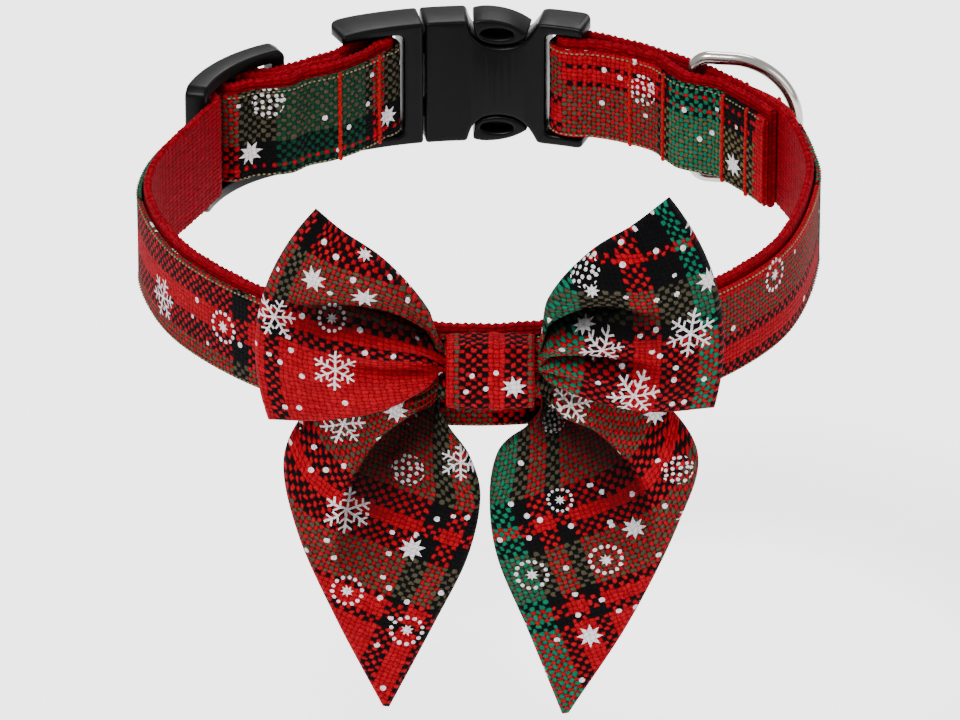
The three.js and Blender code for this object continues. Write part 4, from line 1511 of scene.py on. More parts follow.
    def plug(self, material: bpy.types.Material) -> bpy.types.Object:
        """Makes the half with the prongs.

        Args:
            material: Its plastic.

        Returns:
            The piece.
        """
        work = bmesh.new()
        end = self.sleeve_start - self.seam
        start = end - self.plug_rail - self.crosswall
        wall_at = self.plug_bar_at + self.fold_reach
        inner, rail = self.inner_rail, self.rail
        Plate(self.thickness, self.edge).add_to(work, rounded(mirrored([
            (wall_at, inner, 1.4), (start, inner, 0.5), (start, self.half - 0.35, 0.8),
            (start + 1.9 * rail, self.half, 2.4), (end, self.half, 0.7)])))
        add_rod(work, self.bar, inner * 2 + rail, self.plug_bar_at, self.plug_bar_radius - self.radius)
        across, half_length, deep, half_height = self.eye
        eye_x = self.notch_start + self.notch_length * across
        for side in (1, -1):
            head, eye = self.head(side)
            Plate(self.thickness - 2 * self.running, 0.5).add_to(work, head, [eye])
            middle = (self.waist / 2 + self.notch_depth * deep) * side
            floor = (half_length * 2 * self.notch_length, self.thickness - 2 * self.eye_depth - 0.8,
                     half_height * 2 * self.notch_depth)
            add_block(work, floor, (eye_x, 0, middle))
            length = eye_x - end + self.crosswall
            prong_deep = self.thickness - 2 * self.wall - 2 * self.running
            prong_at = self.waist / 2 + 2 * self.running - self.prong_height / 2
            add_block(work, (length, prong_deep, self.prong_height),
                      (end - self.crosswall + length / 2, 0, prong_at * side))
        mesh = bend_mesh(work, "buckle_plug_shell", self.radius, self.slice_length,
                         trim=self.rounded_end(start))
        piece = finish_mesh(mesh, "buckle_plug_shell", [material], smooth_deg=38)
        return settle(piece, COLLAR, "buckle_plastic", "buckle_plug")


@dataclass
class Slider:
    """A three-bar slider with arched rails."""

    length: float = 24.4
    height: float = 25.0
    thickness: float = 4.0
    arch_radius: float = 26.0
    outer_radius: float = 59.6
    angle_deg: float = 309.0
    bar: float = 2.0
    end_bar: float = 2.6
    window_height: float = 20.0
    edge: float = 0.6
    slice_length: float = 1.0

    def build(self, material: bpy.types.Material) -> bpy.types.Object:
        """Makes the slider.

        Args:
            material: Its plastic.

        Returns:
            The piece.
        """
        half, top, inner = self.length / 2, self.height / 2, self.window_height / 2
        work = bmesh.new()
        outer = rounded(mirrored([(-half, top - 1.2, 0.7), (-half + 1.6, top, 0.7), (half - 1.6, top, 0.7),
                                  (half, top - 1.2, 0.7)]))
        reach = half - self.end_bar
        window = rounded(mirrored([(-reach, inner, 0.7), (reach, inner, 0.7)]))
        Plate(self.thickness, self.edge).add_to(work, outer, [window])
        add_rod(work, self.bar, self.window_height + 1.5, 0, (self.bar - self.thickness) / 2)
        turn = math.radians(self.angle_deg)
        centre_out = self.outer_radius - self.arch_radius - self.thickness / 2

        def place(x: float, y: float) -> tuple[float, float]:
            """Turns a point of the arch to the slider's place in the loop."""
            out = y + centre_out
            return x * math.cos(turn) + out * math.sin(turn), -x * math.sin(turn) + out * math.cos(turn)

        mesh = bend_mesh(work, "slider_shell", self.arch_radius, self.slice_length, place)
        piece = finish_mesh(mesh, "slider_shell", [material], smooth_deg=38)
        return settle(piece, COLLAR, "buckle_plastic", "slider")


@dataclass
class LeashRing:
    """A D-shaped wire ring, swung forward from its pocket."""

    wire: float = 2.35
    height: float = 23.4
    depth: float = 18.7
    corner: float = 3.0
    angle_deg: float = 43.5
    lean_deg: float = 54.5
    bar_radius: float = 55.525
    steps: int = 220
    sides: int = 20

    def centre_line(self) -> list[tuple[float, float]]:
        """Draws the wire's middle in the ring's own plane.

        Returns:
            Pairs of depth and height, closed, with the last point left out.
        """
        half = self.height / 2
        straight, low = self.depth - half, half - self.corner
        arcs = [((straight, 0), half, -0.5, 0.5, 60), ((self.corner, low), self.corner, 0.5, 1.0, 16),
                ((self.corner, -low), self.corner, 1.0, 1.5, 16)]
        points = []
        for (x, z), radius, start, end, count in arcs:
            for turn in np.linspace(start * math.pi, end * math.pi, count + 1):
                points.append((x + radius * math.cos(turn), z + radius * math.sin(turn)))
        return points

    def build(self, material: bpy.types.Material) -> bpy.types.Object:
        """Makes the ring.

        Args:
            material: Its plating.

        Returns:
            The piece.
        """
        line, side, _ = even_loop(self.centre_line(), self.steps)
        turns = np.linspace(0, math.tau, self.sides, endpoint=False)
        radius = self.wire / 2
        deep = line[:, None, 0] + side[:, None, 0] * radius * np.cos(turns)
        high = line[:, None, 1] + side[:, None, 1] * radius * np.cos(turns)
        flat = np.broadcast_to(radius * np.sin(turns), deep.shape)
        place, lean = math.radians(self.angle_deg), math.radians(self.angle_deg + self.lean_deg)
        x = self.bar_radius * math.sin(place) + deep * math.sin(lean) - flat * math.cos(lean)
        y = self.bar_radius * math.cos(place) + deep * math.cos(lean) + flat * math.sin(lean)
        grid = np.stack([x, y, high], axis=-1)
        pen = MeshPen()
        pen.grid(np.concatenate([grid, grid[:1]]), None, wrap=True)
        piece = pen.finish("leash_ring_wire", [material], merge=0.001)
        return settle(piece, RING, "nickel", "leash_ring")


@dataclass(frozen=True)
class Row:
    """A section across a lobe: its upper and lower edge from the bow's centre, and how full it is."""

    along: float
    up_x: float
    up_z: float
    low_x: float
    low_z: float
    bow: float
    puff: float
    lift: float


@dataclass(frozen=True)
class Fold:
    """A fold that fans out from the knot, across the lobe from its lower to its upper edge."""

    root: float
    end: float
    width: float
    depth: float
    fades: float
    ridge: float = 0.55


@dataclass(frozen=True)
class Crease:
    """A sharp valley of the front layer, steep on its upper side."""

    root: float
    end: float
    steep: float
    wide: float
    depth: float
    fades: float


@dataclass
class Lobe:
    """A double layer of gathered cloth: a wing or a tail of the bow."""

    name: str
    side: int
    rows: Sequence[Row]
    folds: Sequence[Fold]
    creases: Sequence[Crease]
    grain: Callable[["Lobe", np.ndarray, np.ndarray, np.ndarray], np.ndarray]
    seed: float
    puff: float
    lift: float
    fold_depth: float
    root_low: float
    cut: tuple[float, float, float]
    centre_x: float = 2.0
    centre_z: float = 4.0
    knot_y: float = -64.1
    root_height: float = 4.6
    root_half_depth: float = 2.6
    root_x: tuple[float, float] = (0.3, 7.75)
    edge_half: float = 1.2
    along_steps: int = 120
    across_steps: int = 96
    gathers: int = 6
    gather_depth: float = 0.7
    gather_fade: float = 0.5
    # Crease depth at which the painted crease shade is at its darkest.
    painted_shade_depth: float = 1.7

    def __post_init__(self) -> None:
        """Adds the gathered end inside the knot to the table."""
        low = self.centre_z + self.root_low
        first = self.rows[0].along
        filled = (self.root_half_depth - self.edge_half) / self.puff
        roots = [Row(along, x, low + self.root_height, x, low, 0.0, filled, 0.0)
                 for along, x in ((0.0, self.root_x[0]), (0.6 * first, self.root_x[1]))]
        self.table = [*roots, *self.rows]

    def column(self, name: str, along: np.ndarray) -> np.ndarray:
        """Reads one column of the table on a smooth line through its rows.

        Args:
            name: The column.
            along: Places from the knot to the free edge.

        Returns:
            Its values there.
        """
        at = np.array([row.along for row in self.table])
        values = np.array([getattr(row, name) for row in self.table])
        slopes = np.empty(len(at))
        slopes[1:-1] = (values[2:] - values[:-2]) / (at[2:] - at[:-2])
        slopes[0] = (values[1] - values[0]) / (at[1] - at[0])
        slopes[-1] = (values[-1] - values[-2]) / (at[-1] - at[-2])
        piece = np.clip(np.searchsorted(at, along, side="left") - 1, 0, len(at) - 2)
        span = at[piece + 1] - at[piece]
        t = (along - at[piece]) / span
        rise = 3 * t**2 - 2 * t**3
        return ((1 - rise) * values[piece] + rise * values[piece + 1]
                + (t**3 - 2 * t**2 + t) * span * slopes[piece] + (t**3 - t**2) * span * slopes[piece + 1])

    def fold_at(self, along: np.ndarray, across: np.ndarray) -> np.ndarray:
        """Sums the folds.

        Args:
            along: Places from the knot to the free edge.
            across: Places from the lower to the upper edge.

        Returns:
            How far the cloth lies back.
        """
        inner, outer = self.table[1].along, self.table[2].along
        begin = np.clip((along - inner) / (outer - inner), 0, 1)
        begin = begin * begin * (3 - 2 * begin)
        total = np.zeros(np.broadcast(along, across).shape)
        for fold in self.folds:
            centre = fold.root + (fold.end - fold.root) * along
            fade = np.sqrt(np.clip(1 - along / fold.fades, 0, 1))
            away = (across - centre) / fold.width
            shape = np.exp(-away**2) - fold.ridge * np.exp(-((away - 1.7) ** 2) / 1.2)
            total += self.fold_depth * fold.depth * begin * fade * shape
        return total

    def crease_at(self, face: int, along: np.ndarray, across: np.ndarray) -> np.ndarray:
        """Sums the creases of one layer; the back layer's are mirrored and shallower.

        Args:
            face: -1 in front, 1 behind.
            along: Places from the knot to the free edge.
            across: Places from the lower to the upper edge.

        Returns:
            How far the cloth is pressed in.
        """
        inner = self.table[1].along
        begin = np.clip((along - inner) / 0.1, 0, 1)
        side = across if face < 0 else 1 - across
        total = np.zeros(np.broadcast(along, across).shape)
        for crease in self.creases:
            centre = crease.root + (crease.end - crease.root) * along
            fade = np.clip(1 - along / crease.fades, 0, 1) ** 0.7
            away = side - centre
            width = np.where(away > 0, crease.steep, crease.wide) * (0.7 + 0.8 * along)
            total += crease.depth * begin * fade * np.exp(-(away / width) ** 2)
        return total * (1.0 if face < 0 else 0.5)

    def surface(self, face: int, along: np.ndarray, across: np.ndarray) -> np.ndarray:
        """Finds points of the front or back layer.

        Args:
            face: -1 in front, 1 behind.
            along: Places from the knot to the free edge.
            across: Places from the lower to the upper edge.

        Returns:
            The points.
        """
        value = {name: self.column(name, along) for name in
                 ("up_x", "up_z", "low_x", "low_z", "bow", "puff", "lift")}
        chord_x, chord_z = value["up_x"] - value["low_x"], value["up_z"] - value["low_z"]
        length = np.hypot(chord_x, chord_z)
        crown = 4 * across * (1 - across)
        x = value["low_x"] + chord_x * across + chord_z / length * value["bow"] * crown
        z = value["low_z"] + chord_z * across - chord_x / length * value["bow"] * crown
        to_side = np.minimum(across, 1 - across) * length
        to_end = (1 - along) * self.length
        rim = np.clip(np.minimum(to_side, to_end) / self.edge_half, 0, 1)
        closing = np.sqrt(1 - (1 - rim) ** 2)
        thickness = closing * (self.edge_half + value["puff"] * self.puff * crown**0.6)
        inner = self.table[1].along
        shown = np.clip((along - inner) / 0.08, 0, 1)
        pleat = np.sin(across * math.pi * self.gathers * 2 + self.seed)
        fading = np.exp(-np.maximum(along - inner, 0) / self.gather_fade * 3)
        gather = self.gather_depth * shown * fading * pleat
        middle = self.knot_y - value["lift"] * self.lift + self.fold_at(along, across) + gather * crown**0.5
        pressed = np.minimum(self.crease_at(face, along, across), thickness * 1.3)
        y = middle + face * (thickness - pressed * np.clip(crown * 3, 0, 1))
        return np.stack([self.centre_x + self.side * x, y, z], axis=-1)

    @property
    def length(self) -> float:
        """The lobe's length from the knot to its free edge."""
        last = self.rows[-1]
        return math.hypot((last.up_x + last.low_x) / 2, (last.up_z + last.low_z) / 2 - self.centre_z)

    def ripple(self, points: np.ndarray, face: int, along: np.ndarray, across: np.ndarray) -> np.ndarray:
        """Adds the soft unevenness of handled cloth.

        Args:
            points: The layer's points.
            face: -1 in front, 1 behind.
            along: Places from the knot to the free edge.
            across: Places across.

        Returns:
            How far each point moves along Y.
        """
        flat = points.reshape(-1, 3)
        soft = np.array([noise.noise(Vector((x * 0.13, self.seed + face, z * 0.13))) for x, _, z in flat])
        fine = np.array([noise.noise(Vector((x * 0.42, self.seed + 4 + face, z * 0.42))) for x, _, z in flat])
        calm = 1.0
        for to_rim in (np.minimum(across, 1 - across), along - self.table[1].along, 1 - along):
            calm = calm * np.clip(to_rim * 9, 0, 1)
        return (0.65 * soft + 0.16 * fine).reshape(points.shape[:-1]) * calm

    def build(self, materials: list[bpy.types.Material]) -> bpy.types.Object:
        """Makes the lobe as one closed skin.

        Args:
            materials: Its cloth.

        Returns:
            The piece.
        """
        steps = np.linspace(0, 1, self.along_steps)
        along = 1 - (1 - steps) ** 1.35
        spread = np.linspace(0, 1, self.across_steps)
        across = spread - 0.8 * np.sin(math.tau * spread) / math.tau
        grid_along, grid_across = np.meshgrid(along, across, indexing="ij")
        pen = MeshPen()
        for face in (-1, 1):
            points = self.surface(face, grid_along, grid_across)
            points[..., 1] += self.ripple(points, face, grid_along, grid_across)
            uv = self.grain(self, points, grid_along, grid_across)
            # The crease depth goes onto the points, where the cloth's material paints shade.
            pressed = self.crease_at(face, grid_along, grid_across)
            pen.grid(points, uv, hollow=np.clip(pressed / self.painted_shade_depth, 0, 1))
        last = self.across_steps
        for column in range(last - 1):
            front, back = column, self.along_steps * last + column
            pen.face((front, front + 1, back + 1, back))
        return pen.finish(self.name + "_cloth", materials, merge=0.02)


def fan_grain(seam: float, width: float, keep: float = 0.5) -> Callable:
    """Lets the cloth's grain follow the free edge and fan out from the knot.

    Args:
        seam: The place across the lobe that stays in line.
        width: The cloth's width at the free edge.
        keep: How much of the gathering the grain follows.

    Returns:
        A function that gives the cloth's place in millimetres.
    """

    def grain(lobe: Lobe, points: np.ndarray, along: np.ndarray, across: np.ndarray) -> np.ndarray:
        """Gives the distance from the free edge and the distance from the seam."""
        chord = np.hypot(lobe.column("up_x", along) - lobe.column("low_x", along),
                         lobe.column("up_z", along) - lobe.column("low_z", along))
        here = np.maximum(chord, 1.0) ** keep * width ** (1 - keep)
        return np.stack([(1 - along) * lobe.length, (across - seam) * here], axis=-1)

    return grain


def slant_grain(tip: tuple[float, float], lean_deg: float, curl_from: float, curl: float,
                pull: float = 0.75, pull_from: float = 42.0) -> Callable:
    """Lets the cloth's grain run straight from the tip, and turn where the cloth is pulled to the knot.

    Args:
        tip: The tail's tip, in X and Z.
        lean_deg: How far the warp leans; positive leans its top to the right.
        curl_from: The distance beside the tip where the cloth starts to turn.
        curl: How fast it turns.
        pull: How fast the inner edge's cloth is drawn sideways towards the knot.
        pull_from: The height above the tip where that starts.

    Returns:
        A function that gives the cloth's place in millimetres.
    """
    lean = math.radians(lean_deg)

    def grain(lobe: Lobe, points: np.ndarray, along: np.ndarray, across: np.ndarray) -> np.ndarray:
        """Gives the distance beside the tip and the distance above it."""
        x, z = points[..., 0] - tip[0], points[..., 2] - tip[1]
        beside = x * math.cos(lean) - z * math.sin(lean)
        above = x * math.sin(lean) + z * math.cos(lean)
        past = np.maximum(beside * lobe.side - curl_from, 0)
        inner = np.clip(1 - beside * lobe.side / 30, 0, 1)
        beside = beside - lobe.side * pull * np.maximum(above - pull_from, 0) * inner
        above = above - curl * past**2 * np.clip(above / 35 - 0.35, 0, 1)
        return np.stack([beside, above], axis=-1)

    return grain


@dataclass
class Knot:
    """The cloth band wrapped round the gathers."""

    width: float = 14.9
    height: float = 12.5
    depth: float = 8.2
    wall: float = 1.2
    corner: float = 2.6
    centre: tuple[float, float, float] = (2.0, -64.1, 4.0)
    round_steps: int = 132
    wide_steps: int = 34

    def outline(self) -> tuple[np.ndarray, np.ndarray, np.ndarray]:
        """Draws the wrap's path round the gathers.

        Returns:
            Points in Y and Z, their outward normals, and the distance along the path.
        """
        deep, high = self.depth / 2 - self.corner, self.height / 2 - self.corner
        points = []
        for y, z, start in ((deep, high, 0.0), (-deep, high, 0.5), (-deep, -high, 1.0), (deep, -high, 1.5)):
            for turn in np.linspace(start, start + 0.5, 14) * math.pi:
                points.append((y + self.corner * math.cos(turn), z + self.corner * math.sin(turn)))
        return even_loop(points, self.round_steps)

    def build(self, materials: list[bpy.types.Material]) -> bpy.types.Object:
        """Makes the wrap.

        Args:
            materials: Its cloth.

        Returns:
            The piece.
        """
        line, normal, at = self.outline()
        half, soft = self.width / 2, self.wall * 0.48
        flat = np.linspace(-half + soft, half - soft, self.wide_steps)
        arc = np.linspace(0, math.pi / 2, 5)[1:-1]
        outer = [(x, 0.0) for x in flat]
        right = [(half - soft + soft * math.sin(a), -soft + soft * math.cos(a)) for a in arc]
        right += [(half, -soft), (half, -self.wall + soft)]
        right += [(half - soft + soft * math.cos(a), -self.wall + soft - soft * math.sin(a)) for a in arc]
        inner = [(x, -self.wall) for x in flat[::-1]]
        left = [(-x, y) for x, y in reversed(right)]
        section = np.array([*outer, *right, *inner, *left])
        rim = np.concatenate([[0.0], np.cumsum(np.linalg.norm(
            np.diff(np.vstack([section, section[:1]]), axis=0), axis=1))]) - half
        x = np.repeat(section[None, :, 0], len(line), axis=0)
        out = np.repeat(section[None, :, 1], len(line), axis=0)
        hollow = 0.35 * (x / half) ** 2
        crease = 0.16 * np.sin(x * 1.9 + at[:-1, None] * 0.25) * (section[None, :, 1] > -0.2)
        out = out - hollow + crease * (1 - (np.abs(x) / half) ** 4)
        y = self.centre[1] + line[:, None, 0] + normal[:, None, 0] * out
        z = self.centre[2] + line[:, None, 1] + normal[:, None, 1] * out
        grid = np.stack([self.centre[0] + x, y, z], axis=-1)
        uv = np.stack(np.meshgrid(at, rim, indexing="ij")[::-1], axis=-1)
        pen = MeshPen()
        pen.grid(np.concatenate([grid, grid[:1]]), uv, wrap=True)
        return pen.finish("knot_wrap_cloth", materials, merge=0.001)


R, K, G, P, O, H = Yarn.RED, Yarn.BLACK, Yarn.GREEN, Yarn.PINE, Yarn.OLIVE, Yarn.KHAKI
STAR, FLAKE, DOT_RING, DOTS = Motif.STAR, Motif.SNOWFLAKE, Motif.RING, Motif.CLUSTER


@dataclass
class Cloths:
    """All cloth finishes of the collar; stripes are widths in millimetres and their yarn."""

    ink: MotifInk = field(default_factory=MotifInk)

    def webbing(self) -> bpy.types.Material:
        """The red webbing."""
        # The webbing's yarn gaps carry strong painted shade.
        return Weave("red_webbing", ((10.0, Yarn.STRAP),), ((10.0, Yarn.STRAP),), warp_pitch=1.6,
                     weft_pitch=0.84, relief=0.3, painted_gap_shade=0.4, fuzz=0.45, roughness=0.9).material()

    def facing(self) -> bpy.types.Material:
        """The plaid strip on the webbing: its stripes run along it, and differ on the flap and the return."""
        end = ((10.4, H), (1.2, K), (1.0, R), (1.5, K), (1.3, R), (1.8, K))
        flap = ((9.6, O), (1.4, K), (2.2, R), (1.2, K), (2.8, R))
        right = ((2.2, K), (3.2, R), (2.0, K), (7.6, O), (2.2, R))
        left = ((3.1, O), (4.6, K), (3.6, R), (4.3, K), (1.6, O))
        back = ((1.1, K), (0.8, R), (1.6, K), (0.8, R), (2.0, K), (10.9, O))
        warp = ((3, R), (9, K), (12, G), (3, K), (5, R), (1, K), (17, R), (8, K), (34, R), (6, K), (14, R),
                (4, K), (18, G), (3, K), (60, R), (6, K), (10, G), (6, K), (49, R), (4, K), (38, R), (3, K),
                (16, G), (4, K), (67, R), (9, K), (5, R), (1, K), (19, P), (7.5, K), (4, R))
        zones = ((3.0, end), (27.0, flap), (48.0, right), (225.0, left), (384.0, back))
        return Weave("facing_plaid", warp, ((17.2, R),), weft_from=-9.1, zones=zones, ink=self.ink).material()

    def left_wing(self) -> bpy.types.Material:
        """The left wing's plaid: distances from its free edge and from its dashed stripe."""
        warp = ((1.7, R), (2.5, K), (60, R))
        weft = ((22, R), (2.3, K), (2.8, R), (2.2, K), (10.2, O), (8, K), (20, R))
        return Weave("left_wing_plaid", warp, weft, weft_from=-23.2, ink=self.ink).material()

    def right_wing(self) -> bpy.types.Material:
        """The right wing's plaid: distances from its free edge and from its lower edge."""
        warp = ((0.7, K), (3.6, G), (6.8, K), (4.2, R), (6.6, K), (9, G), (4, K), (30, R))
        weft = ((16.6, R), (2.4, K), (7.2, O), (5.2, K), (2.2, R), (9, K))
        return Weave("right_wing_plaid", warp, weft, ink=self.ink).material()

    def left_tail(self) -> bpy.types.Material:
        """The left tail's plaid, from its tip."""
        warp = ((29.1, R), (3.1, K), (4.1, R), (2.6, K), (12, G))
        weft = ((14.6, R), (2, K), (2.8, R), (1.3, K), (8, O), (5, K), (2.6, R), (4, K), (22, O), (20, R))
        return Weave("left_tail_plaid", warp, weft, warp_from=-36.2, ink=self.ink).material()

    def right_tail(self) -> bpy.types.Material:
        """The right tail's plaid, from its tip."""
        warp = ((12.5, G), (2.3, K), (3.4, R), (3.0, K), (40, R))
        weft = ((15.8, R), (2, K), (3, R), (1.7, K), (9, O), (3.5, K), (3, R), (4, K), (26, O))
        return Weave("right_tail_plaid", warp, weft, warp_from=-8.0, ink=self.ink).material()

    def knot(self) -> bpy.types.Material:
        """The wrap's plaid: a red stripe down its middle and a black one across."""
        warp = ((1.0, R), (0.8, O), (4.7, K), (2.4, R), (4.6, K), (0.9, O), (3, R))
        weft = ((17.6, R), (6, R), (2.3, K), (6, R), (3, K), (30, R))
        return Weave("knot_plaid", warp, weft, warp_from=-7.45, warp_pitch=0.95, ink=self.ink).material()


def rows_of(*table: Sequence[float]) -> list[Row]:
    """Makes rows from along, upper X and Z, lower X and Z, bow, puff and lift."""
    return [Row(*line) for line in table]


def prints_of(*table: tuple, dots: Sequence[tuple[float, float]] = (), scale: float = 1.0) -> list[Placed]:
    """Lists ornaments at pixels of the photo."""
    return [*(Placed(*line) for line in table), *(Placed(Motif.DOT, x, y, scale) for x, y in dots)]


@dataclass
class SailorBow:
    """The bow: two wings, two tails and the knot."""

    studio: Studio
    cloths: Cloths
    wing_puff: float = 3.2
    wing_lift: float = 4.0
    wing_fold: float = 2.2
    tail_puff: float = 2.0
    tail_lift: float = -2.3
    tail_fold: float = 1.5
    wing_root: float = 0.15
    tail_root: float = -4.75
    wing_cut: tuple[float, float, float] = (42.0, 38.0, 1300.0)
    tail_cut: tuple[float, float, float] = (36.0, 66.0, 1500.0)
    knot_cut: tuple[float, float] = (14.9, 38.0)
    first_seed: int = 20
    knot_seed: int = 31
    dots: int = 40
    ornaments: int = 60

    def wings(self) -> list[tuple[Lobe, bpy.types.Material, list[Placed]]]:
        """Lists the wings with their cloth and prints.

        Returns:
            Lobe, material and prints of each wing.
        """
        wing = {"puff": self.wing_puff, "lift": self.wing_lift, "fold_depth": self.wing_fold,
                "root_low": self.wing_root, "cut": self.wing_cut}
        left = Lobe("bow_wing_left", -1, rows_of(
            (0.25, 10.3, 17, 10.5, 2.2, 0.8, 0.8, 0.55), (0.45, 17, 26.5, 18, -1.2, 2, 1, 1),
            (0.7, 24.4, 31.9, 27.9, -3.5, 3.5, 0.88, 0.8), (1, 29, 34.9, 37.4, -4.8, 5.6, 0.2, 0.16)),
            [Fold(0.85, 0.6, 0.08, 1, 0.85), Fold(0.4, 0.3, 0.1, 0.55, 0.7)],
            [Crease(0.82, 0.53, 0.022, 0.12, 4.4, 0.92), Crease(0.22, 0.44, 0.03, 0.05, 1.6, 0.66),
             Crease(0.5, 0.5, 0.03, 0.04, 0.9, 0.5)], fan_grain(0.45, 41.0), 1.0, **wing)
        right = Lobe("bow_wing_right", 1, rows_of(
            (0.25, 9.5, 18.5, 10, 3.1, 0.8, 0.8, 0.55), (0.45, 16, 28, 17.5, 0.5, 2, 1, 1),
            (0.7, 23.5, 33.0, 27, -1.9, 3.2, 0.88, 0.8), (1, 29.8, 37.1, 37.8, -2.5, 4.7, 0.2, 0.16)),
            [Fold(0.8, 0.52, 0.08, 1, 0.75), Fold(0.4, 0.3, 0.09, 0.8, 0.8)],
            [Crease(0.86, 0.4, 0.022, 0.12, 4.4, 0.8), Crease(0.46, 0.16, 0.022, 0.07, 2.6, 0.84),
             Crease(0.18, 0.1, 0.03, 0.05, 1.2, 0.5)], fan_grain(0.0, 41.0, 0.6), 2.0, **wing)
        left_prints = prints_of(
            (STAR, 365, 254, 0.62, 10), (STAR, 313, 280, 1.05, 14), (STAR, 364, 298, 1.05, 20),
            (FLAKE, 335, 370, 0.95, 28), (FLAKE, 274, 317, 0.9, 5), (DOT_RING, 332, 318, 0.8),
            dots=((324, 242), (336, 257), (353, 280), (390, 277), (302, 316), (288, 337), (291, 350),
                  (365, 353), (345, 403), (269, 354), (280, 362), (285, 407), (330, 293), (408, 300),
                  (360, 330), (440, 374)))
        right_prints = prints_of(
            (DOTS, 583, 270), (STAR, 592, 291, 0.58, 8), (STAR, 584, 324, 0.95, 24), (STAR, 709, 280),
            (FLAKE, 602, 350, 0.95, 12), (FLAKE, 691, 333, 1.1, 20), (FLAKE, 634, 396, 1.1, 4),
            dots=((621, 242), (656, 251), (683, 248), (677, 294), (594, 254), (562, 350), (652, 352),
                  (660, 356), (622, 366), (676, 368), (674, 380), (598, 383), (704, 379), (672, 404),
                  (684, 402), (656, 330)))
        return [(left, self.cloths.left_wing(), left_prints), (right, self.cloths.right_wing(), right_prints)]

    def tails(self) -> list[tuple[Lobe, bpy.types.Material, list[Placed]]]:
        """Lists the tails with their cloth and prints.

        Returns:
            Lobe, material and prints of each tail.
        """
        tail = {"puff": self.tail_puff, "lift": self.tail_lift, "fold_depth": self.tail_fold,
                "root_low": self.tail_root, "cut": self.tail_cut}
        left = Lobe("bow_tail_left", -1, rows_of(
            (0.22, 12.5, 0.4, 8.4, -3.8, 0, 0.3, 0.3), (0.34, 21, 0, 6.6, -8, 0, 0.6, 0.55),
            (0.48, 30, -3.8, 3.2, -14, 0, 0.9, 0.9), (0.6, 34.9, -13.5, 1.6, -21.5, 0, 1, 1),
            (0.74, 32.8, -28, 3.8, -33, 0, 0.85, 0.95), (0.88, 26.2, -45.2, 9.8, -46.5, 0, 0.45, 0.9),
            (1, 18.4, -62.2, 17.3, -62.4, 0, 0.05, 0.9)),
            [Fold(0.4, 0.55, 0.09, 1, 0.62), Fold(0.75, 0.85, 0.1, 0.6, 0.5)],
            [Crease(0.15, 0.95, 0.018, 0.25, 4.4, 0.82), Crease(0.75, 0.95, 0.03, 0.06, 1.5, 0.42),
             Crease(0.1, 0.5, 0.03, 0.05, 1.6, 0.5)],
            slant_grain((-15.9, -61.2), 21.7, 19, 0.042), 3.0, **tail)
        right = Lobe("bow_tail_right", 1, rows_of(
            (0.22, 12.5, 0.9, 8.4, -3.8, 0, 0.3, 0.3), (0.34, 20.6, 0.5, 5.4, -8.4, 0, 0.6, 0.55),
            (0.48, 29, -2.8, 1.3, -12.6, 0, 0.9, 0.9), (0.6, 35.2, -13, -0.1, -21, 0, 1, 1),
            (0.74, 32.2, -26, 1.2, -33, 0, 0.85, 0.95), (0.88, 23.8, -45.5, 6.6, -47.6, 0, 0.45, 0.9),
            (1, 13.5, -63.6, 12.4, -63.8, 0, 0.05, 0.9)),
            [Fold(0.35, 0.5, 0.08, 1, 0.6), Fold(0.7, 0.8, 0.1, 0.7, 0.5)],
            [Crease(0.05, 1.1, 0.018, 0.25, 4.4, 0.78), Crease(0.3, 0.6, 0.02, 0.06, 1.8, 0.42),
             Crease(0.8, 1.0, 0.03, 0.06, 1.4, 0.4)],
            slant_grain((14.9, -62.6), -19.4, 20, 0.042), 4.0, **tail)
        left_prints = prints_of(
            (FLAKE, 343, 424, 0.95, 10), (FLAKE, 347, 510, 1.05, 22), (FLAKE, 461, 462, 0.9, 30),
            (STAR, 396, 411, 0.95, 6), (STAR, 412, 549, 1.0, 2), (DOT_RING, 347, 591, 0.95, 4),
            (DOT_RING, 407, 630, 1.0, 10), (DOTS, 408, 470, 0.95),
            dots=((314, 447), (344, 466), (311, 470), (326, 470), (367, 513), (416, 535), (437, 519),
                  (306, 550), (334, 558), (389, 588), (380, 598), (407, 602), (441, 593), (391, 618),
                  (377, 645), (383, 688)))
        right_prints = prints_of(
            (FLAKE, 570, 405, 0.95, 8), (STAR, 655, 414, 0.9), (STAR, 634, 528, 0.95, 8),
            (STAR, 590, 636, 1.0, 4), (DOT_RING, 606, 560, 1.0, 6), (DOT_RING, 532, 575, 1.0, 2),
            (DOTS, 678, 470, 0.95), (DOTS, 553, 421, 0.7), (DOT_RING, 560, 500, 0.75),
            dots=((521, 463), (511, 504), (527, 516), (540, 520), (602, 492), (632, 494), (658, 461),
                  (665, 506), (610, 522), (612, 526), (571, 526), (500, 540), (529, 538), (566, 568),
                  (575, 594), (578, 615), (602, 600), (557, 640), (582, 680)))
        return [(left, self.cloths.left_tail(), left_prints), (right, self.cloths.right_tail(), right_prints)]

    def build(self) -> None:
        """Builds, prints and places the bow's pieces."""
        def behind(centre: Vector, normal: Vector) -> bool:
            """Says whether a point faces away from the viewer."""
            return normal.y > 0.2

        for index, (lobe, material, prints) in enumerate([*self.wings(), *self.tails()]):
            piece = lobe.build([material])
            printer = Printer(self.studio, self.first_seed + index)
            printer.lay(piece, prints, self.dots, self.ornaments, behind)
            settle(piece, COLLAR, "plaid", lobe.name)
        wrap = Knot().build([self.cloths.knot()])
        prints = prints_of((STAR, 514, 387, 0.95, 10), dots=((472, 376), (496, 373), (486, 389), (466, 392)),
                           scale=0.9)
        Printer(self.studio, self.knot_seed).lay(wrap, prints, 6, 0, behind)
        settle(wrap, COLLAR, "plaid", "knot_wrap")


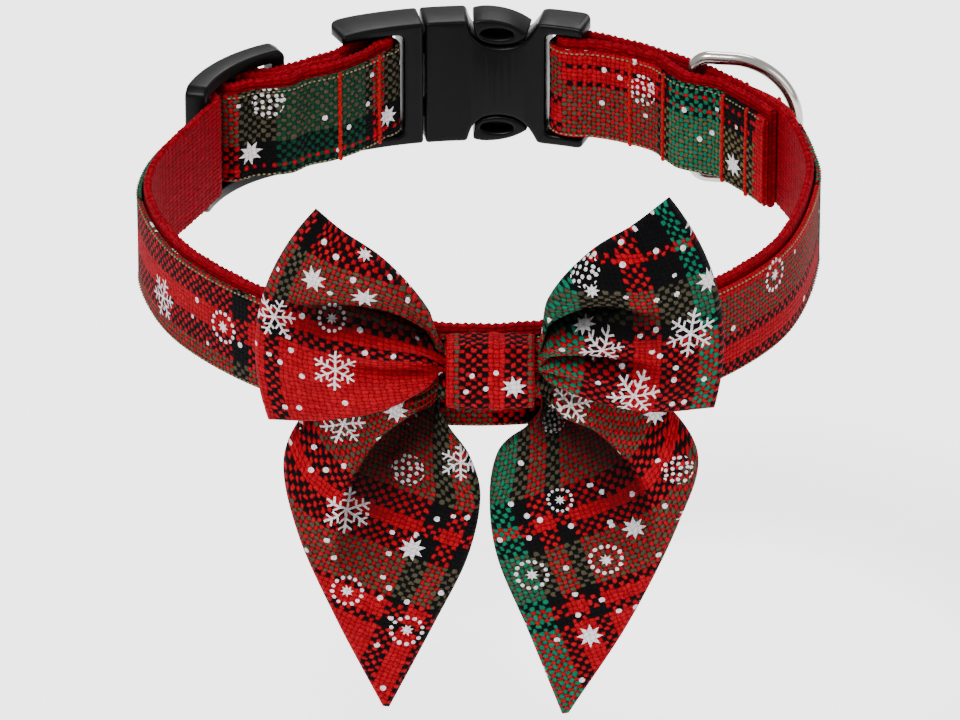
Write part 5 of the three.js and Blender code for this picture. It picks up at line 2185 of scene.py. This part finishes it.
@dataclass
class Strap:
    """The webbing, its plaid facing and their seams."""

    studio: Studio
    cloths: Cloths
    sewing: Sewing
    seam_pitch: float = 0.95
    seam_length: float = 0.62
    seam_width: float = 0.3
    tack_pitch: float = 0.55
    tack_length: float = 1.0
    tack_width: float = 0.8
    tack_angles: tuple[float, ...] = (30.1, 38.9, 53.0, 60.2, 328.2, 338.9)

    def crossings(self, facing: PlaidFacing) -> list[float]:
        """Finds where the tacks cross the facing.

        Args:
            facing: The plaid facing.

        Returns:
            Distances along it.
        """
        angles = np.degrees(np.arctan2(facing.line[:, 0], facing.line[:, 1])) % 360
        found = []
        for wanted in self.tack_angles:
            off = (angles - wanted + 180) % 360 - 180
            flips = np.nonzero(off[:-1] * off[1:] < 0)[0]
            found += [float(facing.at[index]) for index in flips if abs(off[index]) < 5]
        return found

    def build(self) -> None:
        """Builds the strap's pieces."""
        webbing = WebbingStrap("webbing_strap", "webbing", step=0.5, flat_columns=19)
        piece = webbing.build([self.cloths.webbing()])
        settle(piece, COLLAR, "webbing", "webbing_strap")
        facing = PlaidFacing("plaid_facing", "plaid")
        cloth = facing.build([self.cloths.facing()])
        prints = prints_of(
            (FLAKE, 163, 297, 1.0, 10), (DOT_RING, 223, 327), (DOT_RING, 775, 275),
            (STAR, 250, 153, 1.05, 10), (STAR, 387, 116, 0.95, 4), (DOTS, 268, 103), (STAR, 733, 165),
            (DOTS, 642, 90),
            dots=((283, 100), (325, 118), (349, 127), (372, 75), (368, 104), (604, 70), (620, 78), (602, 103),
                  (634, 62), (652, 85), (692, 82), (684, 110), (712, 133), (197, 300), (240, 345)))

        def unseen(centre: Vector, normal: Vector) -> bool:
            """Says whether the strap faces away from the viewer or is hidden."""
            return normal.dot(-self.studio.forward) < 0.1

        Printer(self.studio, 11).lay(cloth, prints, 150, 260, unseen)
        settle(cloth, COLLAR, "plaid", "plaid_facing")
        gold = Thread("gold_thread", (0.13, 0.105, 0.058)).material()
        red = Thread("red_thread", (0.22, 0.0, 0.001)).material()
        rows = self.sewing.sew("facing_seams", facing.seam_lines(), self.seam_pitch, self.seam_length,
                               self.seam_width, gold)
        settle(rows, COLLAR, "plaid")
        tacks = [facing.across_at(at, 0.04, 0.12) for at in self.crossings(facing)]
        lines = self.sewing.sew("cross_tacks", tacks, self.tack_pitch, self.tack_length, self.tack_width, red)
        settle(lines, COLLAR, "webbing")


def main() -> None:
    """Builds the scene in order."""
    logging.basicConfig(level=logging.INFO, format="%(message)s")
    studio = Studio()
    studio.set_camera()
    studio.set_lights()
    studio.set_floor()
    cloths = Cloths()
    Strap(studio, cloths, Sewing()).build()
    plastic = Plastic().material()
    buckle = Buckle()
    buckle.socket(plastic)
    buckle.plug(plastic)
    Slider().build(plastic)
    LeashRing().build(Nickel().material())
    SailorBow(studio, cloths).build()
    bpy.context.view_layer.update()


if __name__ == "__main__":
    main()
